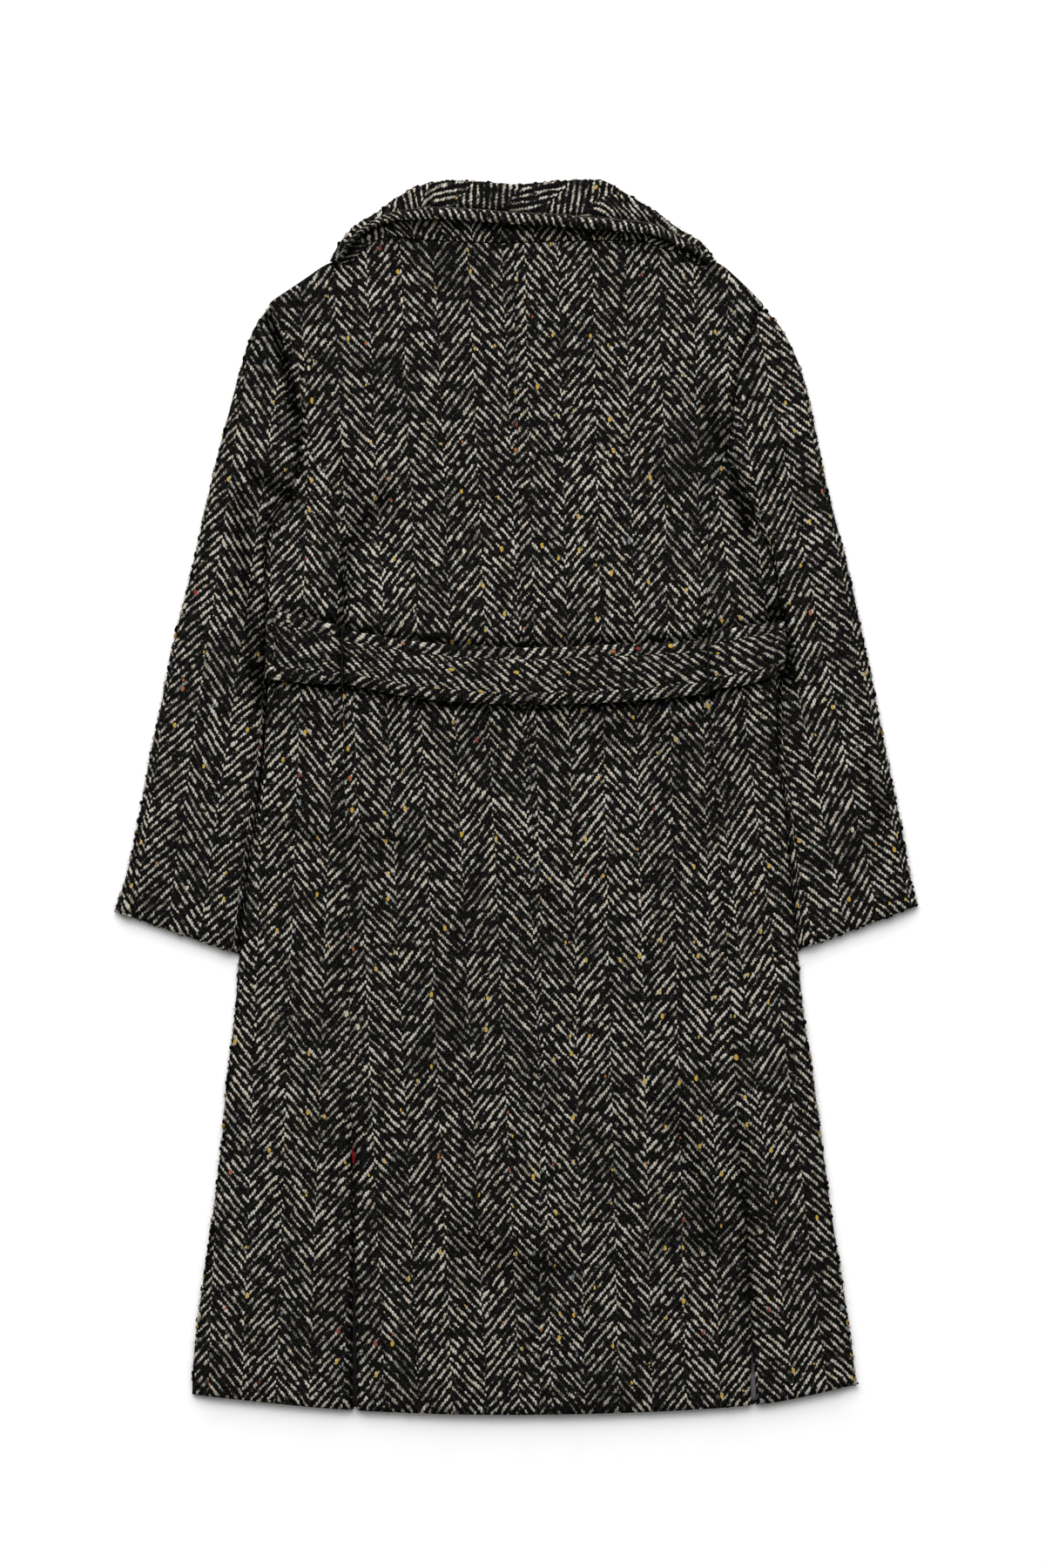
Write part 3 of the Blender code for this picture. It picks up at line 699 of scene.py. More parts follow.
def side_panel(side):
    flat = side_top(side)
    x, y = flat[..., 0], flat[..., 1]
    run = along(flat)
    to_top = norm(flat - flat[-1:])
    z = back_mid(x, y) + belt_dip(x, y) + hem_drop(y, x) + groove(to_top, TOP_DEPTH)
    z += seam_groove(run, y) + fold_roll(run[:, -1:] - run, smooth(*PUFFED_FROM, y))
    z = np.maximum(z, lowest(x, y))
    out = np.tile([OUTWARD[side], 0.0], (len(flat), 1))
    fold = round_fold(flat[:, -1], out, z[:, -1], UNDER_MID + lift(y[:, -1]), EDGE_REACH, FOLD_STEPS)
    rows = np.concatenate([with_z(flat, z), fold], axis=1)
    grain = turned(rows[..., 0], rows[..., 1], SIDE_TURN[side]) + (SIDE_GRAIN[side], 0.0)
    grain[:, flat.shape[1]:, 0] += OUTWARD[side] * (z[:, -1:] - fold[..., 2])
    # The side panel carries painted shade in its creases
    crease_shade_mask = crease_shade(rows[..., 0], rows[..., 1])
    return shell("side_" + side, rows, grain, crease_shade_mask=crease_shade_mask)


def neckline_y(side, x):
    """The front's straight neckline, from the side of the neck down to the closing edge."""
    neck = half_collar(side)[0]
    share = (x - neck.neck_x) / (CLOSING_X[side] - neck.neck_x)
    return lerp(neck.neck_y, FRONT_NECK_Y, share)


def front(side):
    """A front, flat on the surface, from the side fold and armhole to its closing edge."""
    closing = CLOSING_X[side]
    fold = side_top(side)[::3, -1]
    edge = armhole[side](np.linspace(0, len(ARMHOLE[side]) - 1, 28))[1:]
    outer = np.concatenate([fold[:-1], edge, [SHOULDER[side][0]]])
    foot = hem_y(closing)
    inner = points(np.full(len(outer), closing), lerp(foot, FRONT_NECK_Y, height_share(outer)))
    neck = half_collar(side)[0]
    over_neck = [neck.neck_x, *STEP_X[side], closing]
    high = list(SHOULDER[side][:2]) + [(x, neckline_y(side, x)) for x in over_neck]
    shoulder_share = (outer[0, 0] - neck.neck_x) / 3
    at_hem = [outer[0, 0] - shoulder_share * j for j in range(3)] + over_neck[1:]
    last = len(high) - 1
    keys, number = range(len(high)), np.linspace(0, last, 8 * last + 1)
    x = np.interp(number, keys, at_hem)
    top = on_line(number, keys, high)
    u = (x - x[0]) / (x[-1] - x[0])
    flat = patch(outer, inner, points(x, hem_y(x)), top, u)
    flat[:, 0] = towards(flat[:, 0], flat[:, 1], FRONT_SEAM)
    step = FRONT_STEP if side == "left" else 0.0
    z = FRONT_CLOTH / 2 + lift(flat[..., 1]) + step * np.interp(number, keys, (0, 0, 0, 0, 1, 1))
    return shell("front_" + side, with_z(flat, z), flat, FRONT_CLOTH)


def paint_shade_inside(piece):
    """The lining on the inner side of a front, made near black as painted shade for the shadow in the
    vent's gap.
    """
    piece.data.materials.append(PAINTED_SHADE_INSIDE)
    if piece.data.polygons[0].normal.z > 0:
        piece.data.flip_normals()
    piece.modifiers["cloth"].material_offset = 1


def collar_front(side):
    """The collar's hidden front part, flat on the surface above the front's neckline."""
    closing = (CLOSING_X["left"] + CLOSING_X["right"]) / 2
    rolls = half_collar(side)
    neck_side = np.array((rolls[0].neck_x, rolls[0].neck_y), float)
    foot = np.array((closing, neckline_y(side, closing)))
    share = np.linspace(0, 1, 26)
    low_line = lerp(neck_side, foot, share[:, None])
    high_line = path([(row.roll_x, row.roll_y) for row in rolls])(1 + (len(rolls) - 2) * share)
    high_line[:, 1] -= COLLAR_FRONT_INSET
    low_line = towards(low_line, high_line, 2 * SEAM)
    flat = lerp(low_line[None], high_line[None], np.linspace(0, 1, 13)[:, None, None])
    flat[:, -1, 0] += OUTWARD[side] * SEAM
    return shell("collar_front_" + side, with_z(flat, UNDER_MID), flat)


def collar():
    """Stand and leaf in one doubled strip, folded over at the roll line."""
    rise = COLLAR_CLOTH + LEAF_GAP
    reach = rise / 2
    lines = path(COLLAR)(np.linspace(0, len(COLLAR) - 1, COLLAR_ROWS))
    roll, leaf, neck, height = lines[:, 0:2], lines[:, 2:4], lines[:, 4:6], lines[:, 6]
    neck = neck + (0.0, COLLAR_SEAM)
    turn = towards(roll, neck, reach + COLLAR_CLOTH / 2)
    out = unit(roll - neck)
    full = smooth(*LEAF_FULL, norm(turn - leaf))[:, None]
    stand = between(neck, turn, np.linspace(0, 1, STAND_STEPS))
    under_leaf = grooves(norm(stand - leaf[:, None]), UNDER_LEAF)
    stand = with_z(stand, height[:, None] + under_leaf * full)
    bend = round_fold(turn, out, height, height + rise, reach, ROLL_STEPS)
    share = np.linspace(0, 1, LEAF_STEPS)[1:]
    over = between(turn, leaf, share)
    to_edge = norm(over - leaf[:, None])
    edge_roll = grooves(to_edge, LEAF_ROLL)
    lifted = (LEAF_LIFT + LEAF_STAND * full) * share ** 2
    over = with_z(over, (height + rise)[:, None] + lifted + edge_roll * full)
    rows = np.concatenate([stand, bend, over], axis=1)
    across = along(rows)
    length = np.broadcast_to(run_length(roll)[:, None], across.shape)
    grain = turned(length, across, COLLAR_TURN)
    grain[:, :stand.shape[1]] = points(length, across)[:, :stand.shape[1]]
    edge = points(to_edge + LEAF_EDGE_GRAIN, LEAF_EDGE_PITCH * length[:, -over.shape[1]:])
    grain[:, -over.shape[1]:] = np.where(to_edge[..., None] < LEAF_EDGE, edge, grain[:, -over.shape[1]:])
    return shell("collar", rows, grain, COLLAR_CLOTH)


def sleeve(side):
    """A flattened tube from the armhole to the open cuff."""
    sign = OUTWARD[side]
    last = len(ARMHOLE[side]) - 1
    number = np.linspace(0, len(SLEEVE[side]) - 1, SLEEVE_ROWS)
    number = np.concatenate([number[:-1], number[-1] - np.array(CUFF_ROWS)])
    u = spread(SLEEVE_WIDTH)
    head_row = np.interp(u, (0, HEAD_SHARE, 1), (last, ARMHOLE_SEAM_ROW, 0))
    head = armhole[side](head_row)
    bow = head - lerp(head[0], head[-1], u[:, None])
    lines = path(SLEEVE[side])(number)
    outer, inner = lines[:, :2], lines[:, 2:]
    close = 1 - smooth(*CLOSE_BELOW[side], inner[:, 1])
    beside = edge_x[side](inner[:, 1]) - sign * BESIDE_BODY
    inner[:, 0] = lerp(inner[:, 0], beside, close)
    over_run = unit(inner - outer)
    grown = np.minimum(number, 1.0)[:, None]
    start = lerp(head[0], towards(outer, inner, EDGE_OUT), grown)
    low_end = lerp(inner, towards(inner, outer, LOW_TUCK), grown)
    end = lerp(inner, inner - over_run * (EDGE_OUT + SLEEVE_GAP * close)[:, None], grown)
    fade = np.exp(-(number / HEAD_FADE_ROWS) ** 2)[:, None, None]
    over = between(start, end, u) + bow * fade
    below = between(start, low_end, u) + bow * fade
    over[..., 0] += sign * HEAD_SEAM
    below[..., 0] += sign * HEAD_SEAM
    x, y = over[..., 0], over[..., 1]
    to_head, to_cuff = norm(over - over[:1]), norm(over - over[-1:])
    run = along(over)
    z = BACK_LOW + fold_height(x, y) + grooves(to_head, SLEEVE_HEAD)
    z += grooves(to_cuff, CUFF) + grooves(run, SLEEVE_FOLD)
    z += fold_roll(run[:, -1:] - run, close[:, None])
    z = np.maximum(z, LOW_LIMIT)
    top = with_z(over, z)
    under = with_z(below, UNDER_MID)[:, ::-1]
    inner_reach = lerp(SEAM, EDGE_REACH, grown)
    low = np.full(len(number), UNDER_MID)
    inner_fold = round_fold(over[:, -1], over_run * inner_reach, z[:, -1], low, INNER_FOLD, FOLD_STEPS)
    tuck = smooth(*TUCKED, np.arange(1, FOLD_STEPS + 1) / FOLD_STEPS)
    inner_fold[..., :2] += (below[:, -1:] - over[:, -1:]) * tuck[None, :, None]
    tip = np.array(SHOULDER[side][0]) - head[0]
    back_out = lerp(unit(tip), -over_run, grown)
    outer_fold = round_fold(over[:, 0], back_out, low, z[:, 0], EDGE_REACH, FOLD_STEPS)
    ring = np.concatenate([top, inner_fold[:, :-1], under, outer_fold], axis=1)
    wrap = np.zeros(ring.shape[:2])
    wrap[:, len(u):] = np.max(z, axis=1)[:, None] - ring[:, len(u):, 2]
    grain = turned(ring[..., 0], ring[..., 1], SLEEVE_TURN[side])
    half = ring.shape[1] - len(outer_fold[0])
    grain[:, len(u):half, 0] -= sign * wrap[:, len(u):half]
    grain[:, half:, 0] += sign * wrap[:, half:]
    grain[..., 0] += SLEEVE_GRAIN[side]
    # The sleeve carries painted shade in its creases
    crease_shade_mask = crease_shade(ring[..., 0], ring[..., 1])
    return shell("sleeve_" + side, ring, grain, closed=True, crease_shade_mask=crease_shade_mask)


def belt_height(x, y):
    return back_mid(x, y) + CLOTH / 2 + BELT_CLEAR + BELT_CLOTH / 2 + BELT_RISE * held_in(x)


def belt():
    """One doubled strip right round the coat, over the back and under the fronts."""
    share = spread(BELT_WIDTH, BELT_EDGE_ROWS)
    number = np.linspace(0, len(BELT) - 1, BELT_STEPS)
    lines = path(BELT)(number)
    x = np.broadcast_to(lines[:, 0], (len(share), len(number))).copy()
    y = lerp(lines[:, 2], lines[:, 1], share[:, None])
    ends = {}
    for side, end in (("left", 0), ("right", -1)):
        ends[side] = edge_x[side](y[:, end]) - OUTWARD[side] * EDGE_OUT
    keep = plateau((0, 1), (len(BELT) - 2, len(BELT) - 1), number)
    first = number < len(BELT) / 2
    x = np.where(first, lerp(ends["left"][:, None], x, keep), lerp(ends["right"][:, None], x, keep))
    reach = EDGE_OUT + BELT_CLEAR
    rim = np.minimum(share, 1 - share)[:, None] * BELT_WIDTH
    z = belt_height(x, y) + grooves(rim, BELT_RIM)
    for side in SIDES:
        z += groove(x - LOOP_X[side], PINCH[side], PINCH_HALF[side])
    over = with_z(points(x, y), z)
    low = np.full(len(share), BELT_CLOTH / 2)
    out = np.tile([1.0, 0.0], (len(share), 1))
    right = round_fold(over[:, -1, :2], out, z[:, -1], low, reach, BELT_FOLD_STEPS)
    left = round_fold(over[:, 0, :2], -out, low, z[:, 0], reach, BELT_FOLD_STEPS)
    back_share = np.linspace(0, 1, BELT_UNDER_STEPS)[1:-1]
    under = between(over[:, -1, :2], over[:, 0, :2], back_share)
    foot = with_z(over[:, :1, :2], BELT_CLOTH / 2)
    ring = np.concatenate([over, right, with_z(under, BELT_CLOTH / 2), foot, left], axis=1)
    run = along(ring)
    width = (share - 0.5)[:, None] * BELT_WIDTH + BELT_GRAIN
    grain = points(np.broadcast_to(width, run.shape), run)
    # Painted shade on the belt where the left loop pinches it
    crease_shade_mask = -groove(ring[..., 0] - LOOP_X["left"], 1.0, PINCH_HALF["left"])
    return shell("belt", ring, grain, BELT_CLOTH, closed=True, crease_shade_mask=crease_shade_mask)


def vent_lining():
    """The strip of lining behind the right vent."""
    y = np.linspace(LINING_TOP, LINING_FOOT, 60)[:, None]
    x = seam_x["right"](y) + np.linspace(-1, 1, 9) * LINING_HALF
    y = np.broadcast_to(y, x.shape)
    low = np.min(back_mid(x, y), axis=1, keepdims=True)
    z = low - CLOTH / 2 - LINING_CLEAR - LINING_CLOTH / 2
    z = z - LINING_FALL * smooth(*LINING_FALL_FROM, y)
    return shell("vent_lining", with_z(points(x, y), z), points(x, y), LINING_CLOTH)


def strand(name, radius):
    """A curve that makes round threads."""
    curve = bpy.data.curves.new(name, "CURVE")
    curve.dimensions = "3D"
    curve.bevel_depth = radius * MM
    curve.bevel_resolution = 2
    curve.use_fill_caps = True
    return curve


def belt_loop(side):
    """A thread loop of two twisted plies that stands over the belt on the side-back seam."""
    x = LOOP_X[side]
    top, bottom = float(belt_line["top"](x)), float(belt_line["bottom"](x))
    over = BELT_CLOTH / 2 + LOOP_CLEAR + THREAD_RADIUS
    low, high = bottom - LOOP_REACH, top + LOOP_REACH
    ground = float(back_mid(np.array(x), np.array(low))) + CLOTH / 2
    crest = float(np.max(belt_height(np.full(9, x), np.linspace(bottom, top, 9)))) + over - PINCH[side]
    bend = crest - LOOP_CORNER
    corners = np.array([(low, ground), (low, bend), (low + LOOP_CORNER, crest),
                        (high - LOOP_CORNER, crest), (high, bend), (high, ground)])
    run = run_length(corners)
    at = np.linspace(0, run[-1], LOOP_STEPS)
    middle = np.concatenate([np.full((len(at), 1), x), on_line(at, run, corners)], axis=1)
    thread = strand("belt_loop_" + side + "_thread", THREAD_RADIUS * PLY_SHARE)
    for ply in range(2):
        turn = at * PLY_TWIST + math.pi * ply
        swing = np.stack([np.cos(turn), np.sin(turn), np.sin(turn)], -1) * PLY_SWING
        line = thread.splines.new("POLY")
        line.points.add(len(at) - 1)
        line.points.foreach_set("co", with_z((middle + swing) * MM, 1.0).astype(np.float32).ravel())
    return link(thread.name, thread)


# Weave: a 2/2 twill whose direction turns every 16 ends, cream ends over black picks
END, PICK = 2.0125 * MM, 2.42 * MM
STRIPE_ENDS = 16
STRIPE = STRIPE_ENDS * END / MM
BACK_TURN, BACK_GRAIN = {"left": 2.6, "right": 1.35}, {"left": 22.5, "right": 43.8}
SIDE_TURN, SIDE_GRAIN = {"left": -2.0, "right": 7.0}, {"left": 16.7, "right": 30.7}
SLEEVE_TURN, SLEEVE_GRAIN = {"left": -8.0, "right": 11.5}, {"left": 55.7, "right": 5.4}
COLLAR_TURN = 45.0
BELT_GRAIN = STRIPE / 2
BLACK_YARN = (0.0017, 0.0017, 0.0019, 1.0)
CREAM_YARN, ECRU_YARN = (0.438, 0.427, 0.384, 1.0), (0.438, 0.376, 0.276, 1.0)
SWELL = 0.9
SEAM_SHADE = 0.016
NEP_SCALE, NEP_CHANCE, NEP_COVER = 44.0, 0.30, 0.85
Shade = namedtuple("Shade", "start colour")
NEP_SHADES = (
    Shade(0.0, (0.42, 0.28, 0.05, 1.0)),
    Shade(0.66, (0.30, 0.10, 0.035, 1.0)),
    Shade(0.78, (0.10, 0.13, 0.15, 1.0)),
    Shade(0.86, (0.45, 0.40, 0.28, 1.0)),
    Shade(0.95, (0.20, 0.03, 0.025, 1.0)),
)


class Graph:
    """A material's nodes, built from the output side's values."""

    def __init__(self, name):
        self.material = bpy.data.materials.new(name)
        self.material.use_nodes = True
        self.nodes = self.material.node_tree.nodes
        self.shader = self.nodes["Principled BSDF"]

    def join(self, value, socket):
        if isinstance(value, bpy.types.NodeSocket):
            self.material.node_tree.links.new(value, socket)
        else:
            socket.default_value = value

    def node(self, kind, inputs, **settings):
        made = self.nodes.new(kind)
        for key, value in settings.items():
            setattr(made, key, value)
        for key, value in inputs.items():
            self.join(value, made.inputs[key])
        return made

    def math(self, operation, *values):
        return self.node("ShaderNodeMath", dict(enumerate(values)), operation=operation).outputs[0]

    def plus(self, *values):
        return self.math("ADD", *values)

    def times(self, *values):
        return self.math("MULTIPLY", *values)

    def scaled(self, value, factor, extra):
        return self.math("MULTIPLY_ADD", value, factor, extra)

    def vector(self, operation, *values):
        return self.node("ShaderNodeVectorMath", dict(enumerate(values)),
                         operation=operation).outputs[0]

    def noise(self, vector, scale, detail=2.0, output="Fac"):
        return self.node("ShaderNodeTexNoise", {"Vector": vector, "Scale": scale,
                                                "Detail": detail}).outputs[output]

    def ramp(self, value, low, high, out_low=0.0, out_high=1.0, kind="SMOOTHSTEP"):
        return self.node("ShaderNodeMapRange", {0: value, 1: low, 2: high, 3: out_low, 4: out_high},
                         interpolation_type=kind).outputs[0]

    def mix(self, share, a, b):
        return self.node("ShaderNodeMix", {0: share, 6: a, 7: b}, data_type="RGBA").outputs[2]

    def finish(self, colour, height, strength, depth, rough, specular):
        """Colour, bump and roughness of the shader, which complete the material."""
        bump = self.node("ShaderNodeBump", {"Height": height, "Strength": strength, "Distance": depth})
        self.join(colour, self.shader.inputs["Base Color"])
        self.join(bump.outputs[0], self.shader.inputs["Normal"])
        self.join(rough, self.shader.inputs["Roughness"])
        self.shader.inputs["Specular IOR Level"].default_value = specular
        return self.material


def tweed():
    g = Graph("tweed")
    grain = g.node("ShaderNodeUVMap", {}, uv_map="grain").outputs[0]
    centre = (0.5, 0.5, 0.5)
    drift = g.vector("SUBTRACT", g.noise(grain, 48.0, 2.0, "Color"), centre)
    jitter = g.vector("SUBTRACT", g.noise(grain, 430.0, 1.0, "Color"), centre)
    drift = g.vector("MULTIPLY", drift, (0.0036, 0.0048, 0.0))
    jitter = g.vector("MULTIPLY", jitter, (0.0016, 0.0018, 0.0))
    yarn = g.vector("ADD", g.vector("ADD", grain, drift), jitter)
    place = g.node("ShaderNodeSeparateXYZ", {0: yarn})
    ends = g.math("DIVIDE", place.outputs[0], END)
    picks = g.math("DIVIDE", place.outputs[1], PICK)

    # Twill lines that change direction from stripe to stripe
    stripe = g.math("FLOOR", g.math("DIVIDE", ends, STRIPE_ENDS))
    odd = g.math("FLOORED_MODULO", stripe, 2.0)
    turn = g.scaled(odd, -2.0, 1.0)
    inside = g.scaled(stripe, -STRIPE_ENDS, ends)
    lean = g.scaled(g.math("FRACT", inside), 0.45, 0.275)
    step = g.plus(g.math("FLOOR", inside), lean)
    broken = g.scaled(odd, 2.0, picks)
    floats = g.math("DIVIDE", g.scaled(turn, step, broken), 4.0)
    phase = g.math("FRACT", floats)
    crest = g.math("ABSOLUTE", g.scaled(phase, 2.0, -1.0))
    slub = g.noise(grain, 85.0, 4.0)
    thin = g.noise(grain, 240.0, 2.0)
    swell = g.plus(g.scaled(slub, SWELL, -SWELL / 2), g.scaled(thin, SWELL, -SWELL / 2))
    line = g.ramp(g.plus(crest, swell), 0.52, 0.84)

    # Each end shows as a row of short floats, some bright and some lost in the nap
    gap = g.math("ABSOLUTE", g.scaled(g.math("FRACT", inside), 2.0, -1.0))
    bead = g.ramp(gap, 0.4, 1.0, 1.0, 0.38)
    number = g.node("ShaderNodeCombineXYZ", {0: g.math("FLOOR", ends),
                                             1: g.math("FLOOR", g.plus(floats, 0.5))})
    dice = g.node("ShaderNodeTexWhiteNoise", {"Vector": number.outputs[0]}, noise_dimensions="2D")
    chance = dice.outputs["Value"]
    hue = g.node("ShaderNodeSeparateColor", {0: dice.outputs["Color"]}).outputs[1]
    patches = g.plus(g.noise(grain, 34.0, 2.0), g.noise(grain, 11.0, 1.0))
    patches = g.plus(patches, g.noise(grain, 78.0, 1.0))
    dash = g.times(g.ramp(chance, 0.0, 1.0, 0.55, 1.25, "LINEAR"),
                   g.ramp(patches, 1.15, 1.85, 0.22, 1.78, "LINEAR"))
    nap_and_shade = g.ramp(g.noise(grain, 105.0, 3.0), 0.42, 0.53, 0.02, 1.0)
    cream = g.times(g.times(line, bead), g.times(dash, nap_and_shade))
    hair = g.ramp(g.noise(grain, 900.0, 1.0), 0.49, 0.8, 0.0, 0.06)
    tone = g.plus(cream, hair)
    colour = g.mix(tone, BLACK_YARN, g.mix(g.math("POWER", hue, 2.0), CREAM_YARN, ECRU_YARN))

    # Coloured neps here and there
    wool = g.vector("ADD", grain, g.vector("MULTIPLY", jitter, (1.2, 1.2, 0.0)))
    wool = g.vector("MULTIPLY", wool, (1.3, 0.75, 0.0))
    cells = g.node("ShaderNodeTexVoronoi", {"Vector": wool, "Scale": NEP_SCALE}, voronoi_dimensions="2D")
    pick = g.node("ShaderNodeSeparateColor", {0: cells.outputs["Color"]})
    size = g.ramp(pick.outputs[1], 0.0, 1.0, 0.04, 0.095, "LINEAR")
    spot = g.math("LESS_THAN", cells.outputs["Distance"], size)
    chosen = g.math("LESS_THAN", pick.outputs[0], NEP_CHANCE)
    nep = g.times(g.times(spot, chosen), NEP_COVER)
    hues = g.node("ShaderNodeValToRGB", {0: pick.outputs[2]})
    hues.color_ramp.interpolation = "CONSTANT"
    stops = hues.color_ramp.elements
    for number, shade in enumerate(NEP_SHADES):
        stop = stops[number] if number < len(stops) else stops.new(shade.start)
        stop.position = shade.start
        stop.color = shade.colour
    colour = g.mix(nep, colour, hues.outputs[0])

    # Painted shade: the colour darkens where ambient occlusion finds seams, creases and gaps between
    # pieces, and more in the creases' troughs
    open_sky = g.node("ShaderNodeAmbientOcclusion", {"Distance": SEAM_SHADE}, samples=2).outputs["AO"]
    crease_shade_mask = g.node("ShaderNodeAttribute", {}, attribute_name="crease_shade").outputs["Fac"]
    crease = g.times(g.ramp(open_sky, 0.42, 0.94, 0.06, 1.0, "LINEAR"),
                     g.ramp(crease_shade_mask, 0.0, 1.0, 1.0, 0.22, "LINEAR"))
    colour = g.mix(crease, (0.0, 0.0, 0.0, 1.0), colour)

    fuzz = g.noise(grain, 700.0, 2.0)
    height = g.plus(g.times(g.plus(cream, nep), 0.7), g.times(fuzz, 0.6))
    g.shader.inputs["Sheen Weight"].default_value = 0.004
    g.shader.inputs["Sheen Roughness"].default_value = 0.5
    rough = g.ramp(cream, 0.0, 1.0, 0.98, 0.86, "LINEAR")
    return g.finish(colour, height, 0.55, 0.0011, rough, 0.0)


def thread(name, dark, pale):
    g = Graph(name)
    place = g.node("ShaderNodeTexCoord", {}).outputs["Object"]
    fibre = g.noise(place, 2600.0, 2.0)
    rough = g.ramp(fibre, 0.0, 1.0, 0.75, 0.95, "LINEAR")
    return g.finish(g.mix(fibre, (*dark, 1.0), (*pale, 1.0)), fibre, 0.4, 0.0003, rough, 0.1)


def lining(name, dark, pale):
    g = Graph(name)
    grain = g.node("ShaderNodeUVMap", {}, uv_map="grain").outputs[0]
    fine = g.node("ShaderNodeMapping", {0: grain, 3: (2400.0, 900.0, 1.0)}).outputs[0]
    weave = g.noise(fine, 1.0, 1.0)
    rough = g.ramp(weave, 0.0, 1.0, 0.4, 0.55, "LINEAR")
    return g.finish(g.mix(weave, (*dark, 1.0), (*pale, 1.0)), weave, 0.3, 0.0002, rough, 0.1)


def wool():
    g = Graph("wool")
    tint = g.node("ShaderNodeAttribute", {}, attribute_name="tint").outputs["Color"]
    place = g.node("ShaderNodeTexCoord", {}).outputs["Object"]
    fibre = g.noise(place, 900.0, 2.0)
    colour = g.mix(g.ramp(fibre, 0.3, 0.7, 0.0, 0.7, "LINEAR"), tint, (0.003, 0.003, 0.003, 1.0))
    rough = g.ramp(fibre, 0.0, 1.0, 0.85, 1.0, "LINEAR")
    return g.finish(colour, fibre, 0.5, 0.0006, rough, 0.0)


# Wool that stands out at the coat's edges: small loops of yarn and loose fibres
WOOL_TINTS = np.array([(0.004, 0.004, 0.004)] * 11 + [(0.40, 0.37, 0.30)] * 5 + [(0.36, 0.22, 0.035)])
HEM_RIM, SIDE_RIM = (-310, 328), (-562, -155)
FAR = 2000
HEM_Z, SIDE_Z, SLEEVE_Z = (4.5, 8.5), (3.0, 9.0), (3.0, 8.5)
SHOULDER_Z, COLLAR_Z = (4.5, 7.5), (10.0, 16.0)
NUB_SPACING, NUB_SIZE, NUB_LONG = 3.4, (0.7, 1.9), (1.0, 1.9)
NUB_OUT, NUB_UNEVEN, NUB_SHADE = (-1.3, 0.1), (0.8, 1.15), (0.6, 1.1)
FIBRE_SPACING, FIBRE_ROOT, FIBRE_LOWEST = 0.7, 0.9, 0.2
FIBRE_HALF, FIBRE_TAPER, FIBRE_RIDGE = (0.09, 0.17), 0.7, (0.0, 0.0, 1.2)


def rims():
    """The coat's outline: lines of places, a place that each faces, its lowest and highest z."""
    x = np.linspace(*HEM_RIM, 400)
    lines = [(points(x, hem_y(x)), (10, -FAR), HEM_Z)]
    for side in SIDES:
        out, askew = OUTWARD[side] * FAR, OUTWARD[side] * 0.3 * FAR
        y = np.linspace(*SIDE_RIM, 200)
        rows = path(SLEEVE[side])(np.linspace(0, len(SLEEVE[side]) - 1, 300))
        cuff = lerp(rows[-1, :2], rows[-1, 2:], np.linspace(0, 1, 60)[:, None])
        shoulder = path(SHOULDER[side])(np.linspace(0, len(SHOULDER[side]) - 1, 60))
        lines += [(points(edge_x[side](y), y), (out, 0), SIDE_Z), (rows[:, :2], (out, 0), SLEEVE_Z),
                  (cuff, (askew, -FAR), SLEEVE_Z), (shoulder, (askew, FAR), SHOULDER_Z)]
    roll = path([(row.roll_x, row.roll_y) for row in COLLAR])(np.linspace(0, len(COLLAR) - 1, 300))
    return lines + [(roll, (0, 1.5 * FAR), COLLAR_Z)]


def along_rims(rng, spacing):
    """Places scattered along the outline, with the direction out of the cloth and along the rim."""
    found, outs, runs = [], [], []
    for line, facing, (low, high) in rims():
        length = run_length(line)
        at = np.sort(rng.uniform(0, length[-1], int(length[-1] / spacing)))
        place = on_line(at, length, line)
        run = unit(on_line(at, length, np.gradient(line, length, axis=0)))
        out = points(run[:, 1], -run[:, 0])
        out *= np.sign(np.sum(out * (np.array(facing) - place), axis=1, keepdims=True))
        found.append(with_z(place, rng.uniform(low, high, len(at))))
        outs.append(with_z(out, 0.0))
        runs.append(with_z(run, 0.0))
    return np.concatenate(found), np.concatenate(outs), np.concatenate(runs)


def joined(name, verts, cells, tints):
    """One piece of many small bodies, all with the same faces, and a tint for each."""
    count, corners = verts.shape[:2]
    faces = cells[None] + (np.arange(count) * corners)[:, None, None]
    mesh = bpy.data.meshes.new(name)
    mesh.from_pydata((verts * MM).reshape(-1, 3).tolist(), [], faces.reshape(-1, 3).tolist())
    tint = mesh.color_attributes.new("tint", "FLOAT_COLOR", "POINT")
    colours = with_z(np.repeat(tints, corners, axis=0), 1.0)
    tint.data.foreach_set("color", colours.astype(np.float32).ravel())
    mesh.shade_smooth()
    mesh.materials.append(WOOL)
    piece = link(name, mesh)
    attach(piece, "root")
    return piece


def nubs():
    """Small uneven loops of yarn that make the outline knobbly."""
    rng = np.random.default_rng(11)
    place, out, run = along_rims(rng, NUB_SPACING)
    count = len(place)
    ball = bmesh.new()
    bmesh.ops.create_icosphere(ball, subdivisions=2, radius=1.0)
    shape = np.array([vertex.co[:] for vertex in ball.verts])
    cells = np.array([[vertex.index for vertex in face.verts] for face in ball.faces])
    ball.free()
    size = rng.uniform(*NUB_SIZE, count)
    long = size * rng.uniform(*NUB_LONG, count)
    place = place + out * rng.uniform(*NUB_OUT, count)[:, None]
    local = shape[None] * rng.uniform(*NUB_UNEVEN, (count, len(shape), 1))
    verts = (place[:, None] + local[..., :1] * (out * size[:, None])[:, None]
             + local[..., 1:2] * (run * long[:, None])[:, None])
    verts[..., 2] += local[..., 2] * size[:, None]
    tints = WOOL_TINTS[rng.integers(0, len(WOOL_TINTS), count)]
    tints = tints * rng.uniform(*NUB_SHADE, (count, 1))
    return joined("edge_nubs", verts, cells, tints)


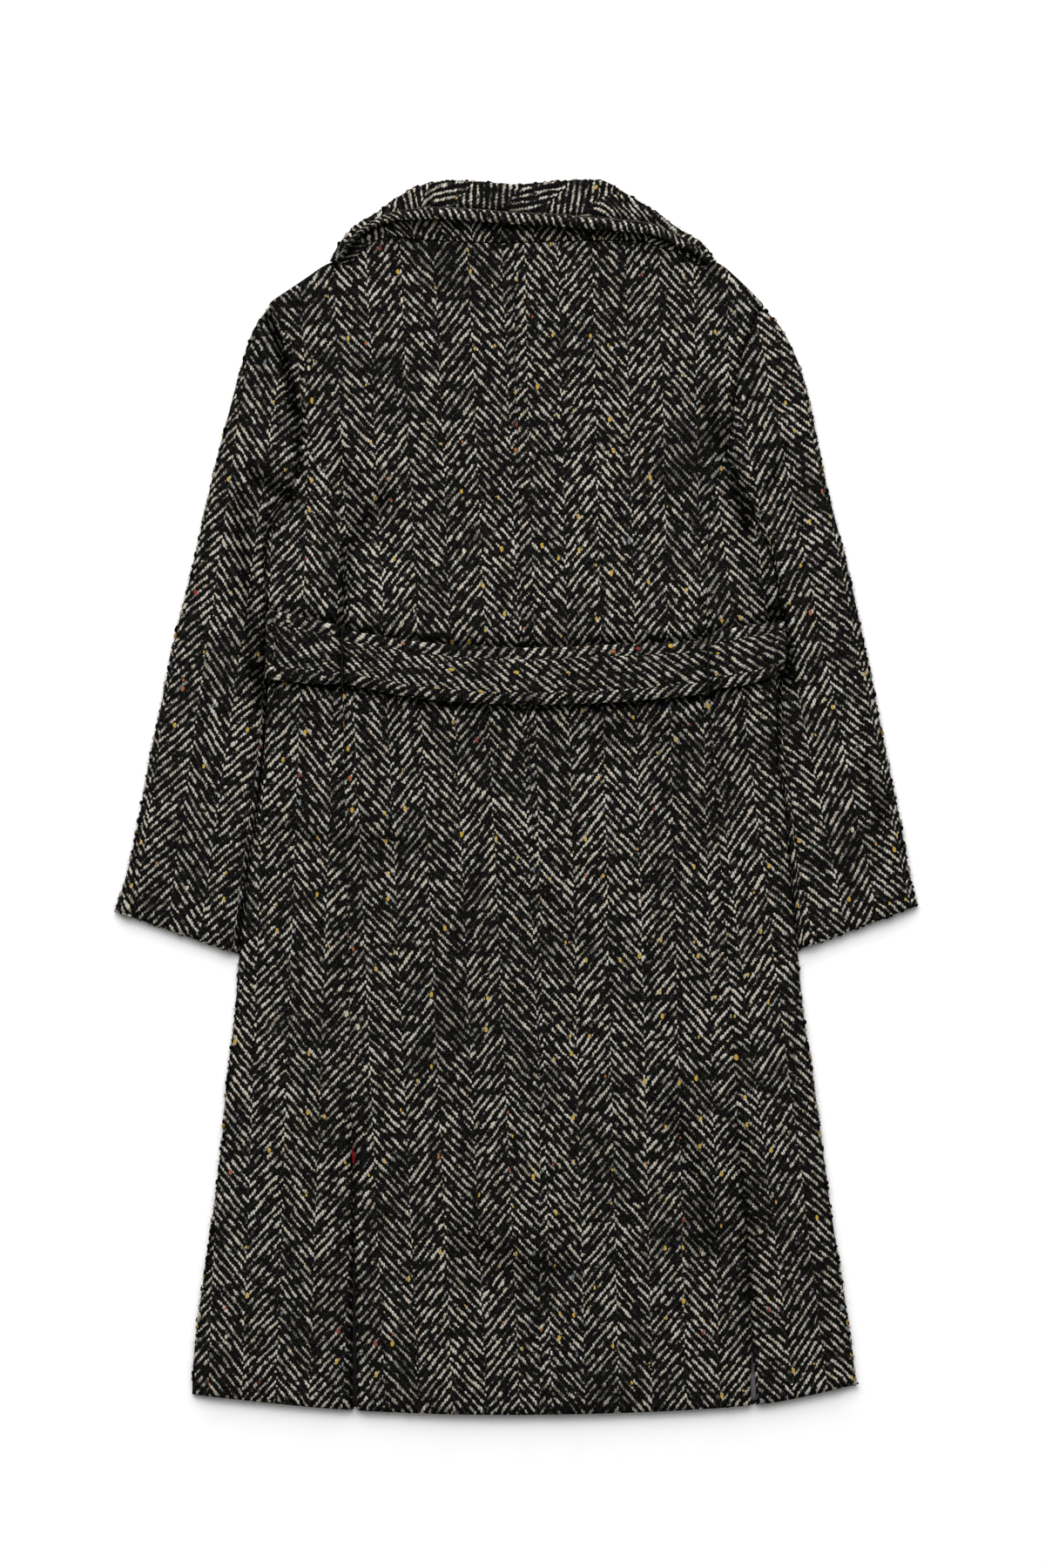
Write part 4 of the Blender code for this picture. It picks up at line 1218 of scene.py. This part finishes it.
def fibres():
    """Loose wool fibres, thin bent strands that stick out past the outline."""
    rng = np.random.default_rng(12)
    place, out, run = along_rims(rng, FIBRE_SPACING)
    count = len(place)
    length = rng.gamma(3.0, 0.7, count)
    sway = rng.normal(0, 0.8, count)
    rise = rng.normal(0.15, 0.5, count)
    bend = rng.normal(0, 0.7, count)
    half = rng.uniform(*FIBRE_HALF, count)
    beside = with_z(points(-out[:, 1], out[:, 0]), 0.0)
    rows = []
    for share in (0.0, 0.5, 1.0):
        middle = place + out * (length * share - FIBRE_ROOT)[:, None]
        middle += run * (length * (sway * share + bend * share ** 2))[:, None]
        middle[:, 2] = np.maximum(middle[:, 2] + length * rise * share, FIBRE_LOWEST)
        width = (half * (1 - FIBRE_TAPER * share))[:, None]
        rows += [middle - beside * width, middle + beside * width, middle + width * FIBRE_RIDGE]
    turns = [(0, 1, 4), (0, 4, 3), (1, 2, 5), (1, 5, 4), (2, 0, 3), (2, 3, 5)]
    cells = np.array([(0, 2, 1), (6, 7, 8)] + turns + [(a + 3, b + 3, c + 3) for a, b, c in turns])
    tints = WOOL_TINTS[rng.integers(0, len(WOOL_TINTS), count)]
    return joined("edge_fibres", np.stack(rows, axis=1), cells, tints)


# Pieces
TWEED, WOOL = tweed(), wool()
LINING = lining("lining", (0.05, 0.05, 0.053), (0.10, 0.10, 0.105))
# Near-black lining: painted shade for the shadow seen between the fronts and the back
PAINTED_SHADE_INSIDE = lining("inside", (0.004, 0.004, 0.0045), (0.009, 0.009, 0.0095))
THREAD = thread("black_thread", (0.002, 0.002, 0.002), (0.008, 0.008, 0.0075))
RED = thread("red_thread", (0.05, 0.002, 0.003), (0.20, 0.008, 0.012))


def dress(piece, node, material):
    piece.data.materials.append(material)
    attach(piece, "root")
    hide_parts(node)
    return piece


def vent_tack():
    """A few small red stitches that hold the top of the left vent."""
    rng = np.random.default_rng(21)
    stitches = strand("vent_tack", TACK_RADIUS)
    for k in range(TACK_STITCHES):
        x, y = TACK_X + TACK_STEP * k + rng.uniform(-0.3, 0.3), TACK_Y + rng.uniform(-3, 3)
        half = rng.uniform(5, 9)
        line = stitches.splines.new("POLY")
        line.points.add(8)
        for point, share in zip(line.points, np.linspace(-1, 1, 9)):
            at = y + half * share
            z = back_mid(np.array(x), np.array(at)) + CLOTH / 2 - TACK_BOW * share ** 2 - TACK_SINK
            point.co = (x * MM, at * MM, float(z) * MM, 1.0)
    stitches.materials.append(RED)
    piece = link("vent_tack", stitches)
    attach(piece, "root")
    return piece


# The cut of each sheet in metres, all round on the sleeves and the belt
Cut = namedtuple("Cut", "node width length area")
CUTS = (
    Cut("back_left", 0.260, 1.126, 0.206),
    Cut("back_right", 0.240, 1.123, 0.215),
    Cut("side_left", 0.153, 0.930, 0.0974),
    Cut("side_right", 0.144, 0.925, 0.0681),
    Cut("front_left", 0.359, 1.099, 0.324),
    Cut("front_right", 0.366, 1.095, 0.321),
    Cut("sleeve_left", 0.262, 0.620, 0.107),
    Cut("sleeve_right", 0.262, 0.614, 0.104),
    Cut("collar", 0.422, 0.110, 0.0277),
    Cut("collar_front_left", 0.173, 0.129, 0.0141),
    Cut("collar_front_right", 0.181, 0.132, 0.0153),
    Cut("belt", 0.056, 1.030, 0.0558),
    Cut("vent_lining", 0.037, 0.233, 0.0056),
)

sheets = {}
for side in SIDES:
    for name, make in (("back_", back), ("side_", side_panel), ("front_", front),
                       ("sleeve_", sleeve), ("collar_front_", collar_front)):
        sheets[name + side] = dress(make(side), name + side, TWEED)
    paint_shade_inside(sheets["front_" + side])
    dress(belt_loop(side), "belt_loop_" + side, THREAD)
sheets["collar"] = dress(collar(), "collar", TWEED)
sheets["belt"] = dress(belt(), "belt", TWEED)
sheets["vent_lining"] = dress(vent_lining(), "vent_lining", LINING)

trims = {"side_left": [nubs(), fibres(), vent_tack()]}
for cut in CUTS:
    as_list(trims.get(cut.node, []))

# Floor and light
FLOOR_Z, FLOOR_HALF = -0.0002, 12.0
PAPER_DARK, PAPER_PALE = (0.85, 0.85, 0.85, 1.0), (0.89, 0.89, 0.89, 1.0)
SKY, SKY_POWER = (1.0, 1.0, 1.0, 1.0), 0.31

floor_mesh = bpy.data.meshes.new("floor")
floor_corners = [(x * FLOOR_HALF, y * FLOOR_HALF, 0) for x, y in ((-1, -1), (1, -1), (1, 1), (-1, 1))]
floor_mesh.from_pydata(floor_corners, [], [(0, 1, 2, 3)])
floor = link("floor", floor_mesh)
floor.location.z = FLOOR_Z
paper = Graph("paper")
paper_tone = paper.noise(paper.node("ShaderNodeTexCoord", {}).outputs["Object"], 40.0, 2.0)
paper.join(paper.mix(paper_tone, PAPER_DARK, PAPER_PALE), paper.shader.inputs["Base Color"])
paper.shader.inputs["Roughness"].default_value = 0.9
floor_mesh.materials.append(paper.material)

world = bpy.data.worlds.new("studio")
world.use_nodes = True
sky = world.node_tree.nodes["Background"]
sky.inputs[0].default_value, sky.inputs[1].default_value = SKY, SKY_POWER
bpy.context.scene.world = world

Lamp = namedtuple("Lamp", "name kind place size power")
LAMPS = (
    Lamp("window", "SUN", (-0.3, 3.0, 1.15), 1.2, 4.6),
    Lamp("overhead", "AREA", (-0.1, 1.05, 2.2), 1.6, 36.0),
)
for lamp in LAMPS:
    data = bpy.data.lights.new(lamp.name, lamp.kind)
    data.energy = lamp.power
    if lamp.kind == "SUN":
        data.angle = lamp.size
    else:
        data.size = lamp.size
    light = link(lamp.name, data)
    light.location = lamp.place
    aim = -np.array(lamp.place)
    light.rotation_euler = (math.atan2(math.hypot(aim[0], aim[1]), -aim[2]), 0.0,
                            math.atan2(aim[1], aim[0]) - math.pi / 2)

bpy.context.scene.view_settings.view_transform = "Standard"
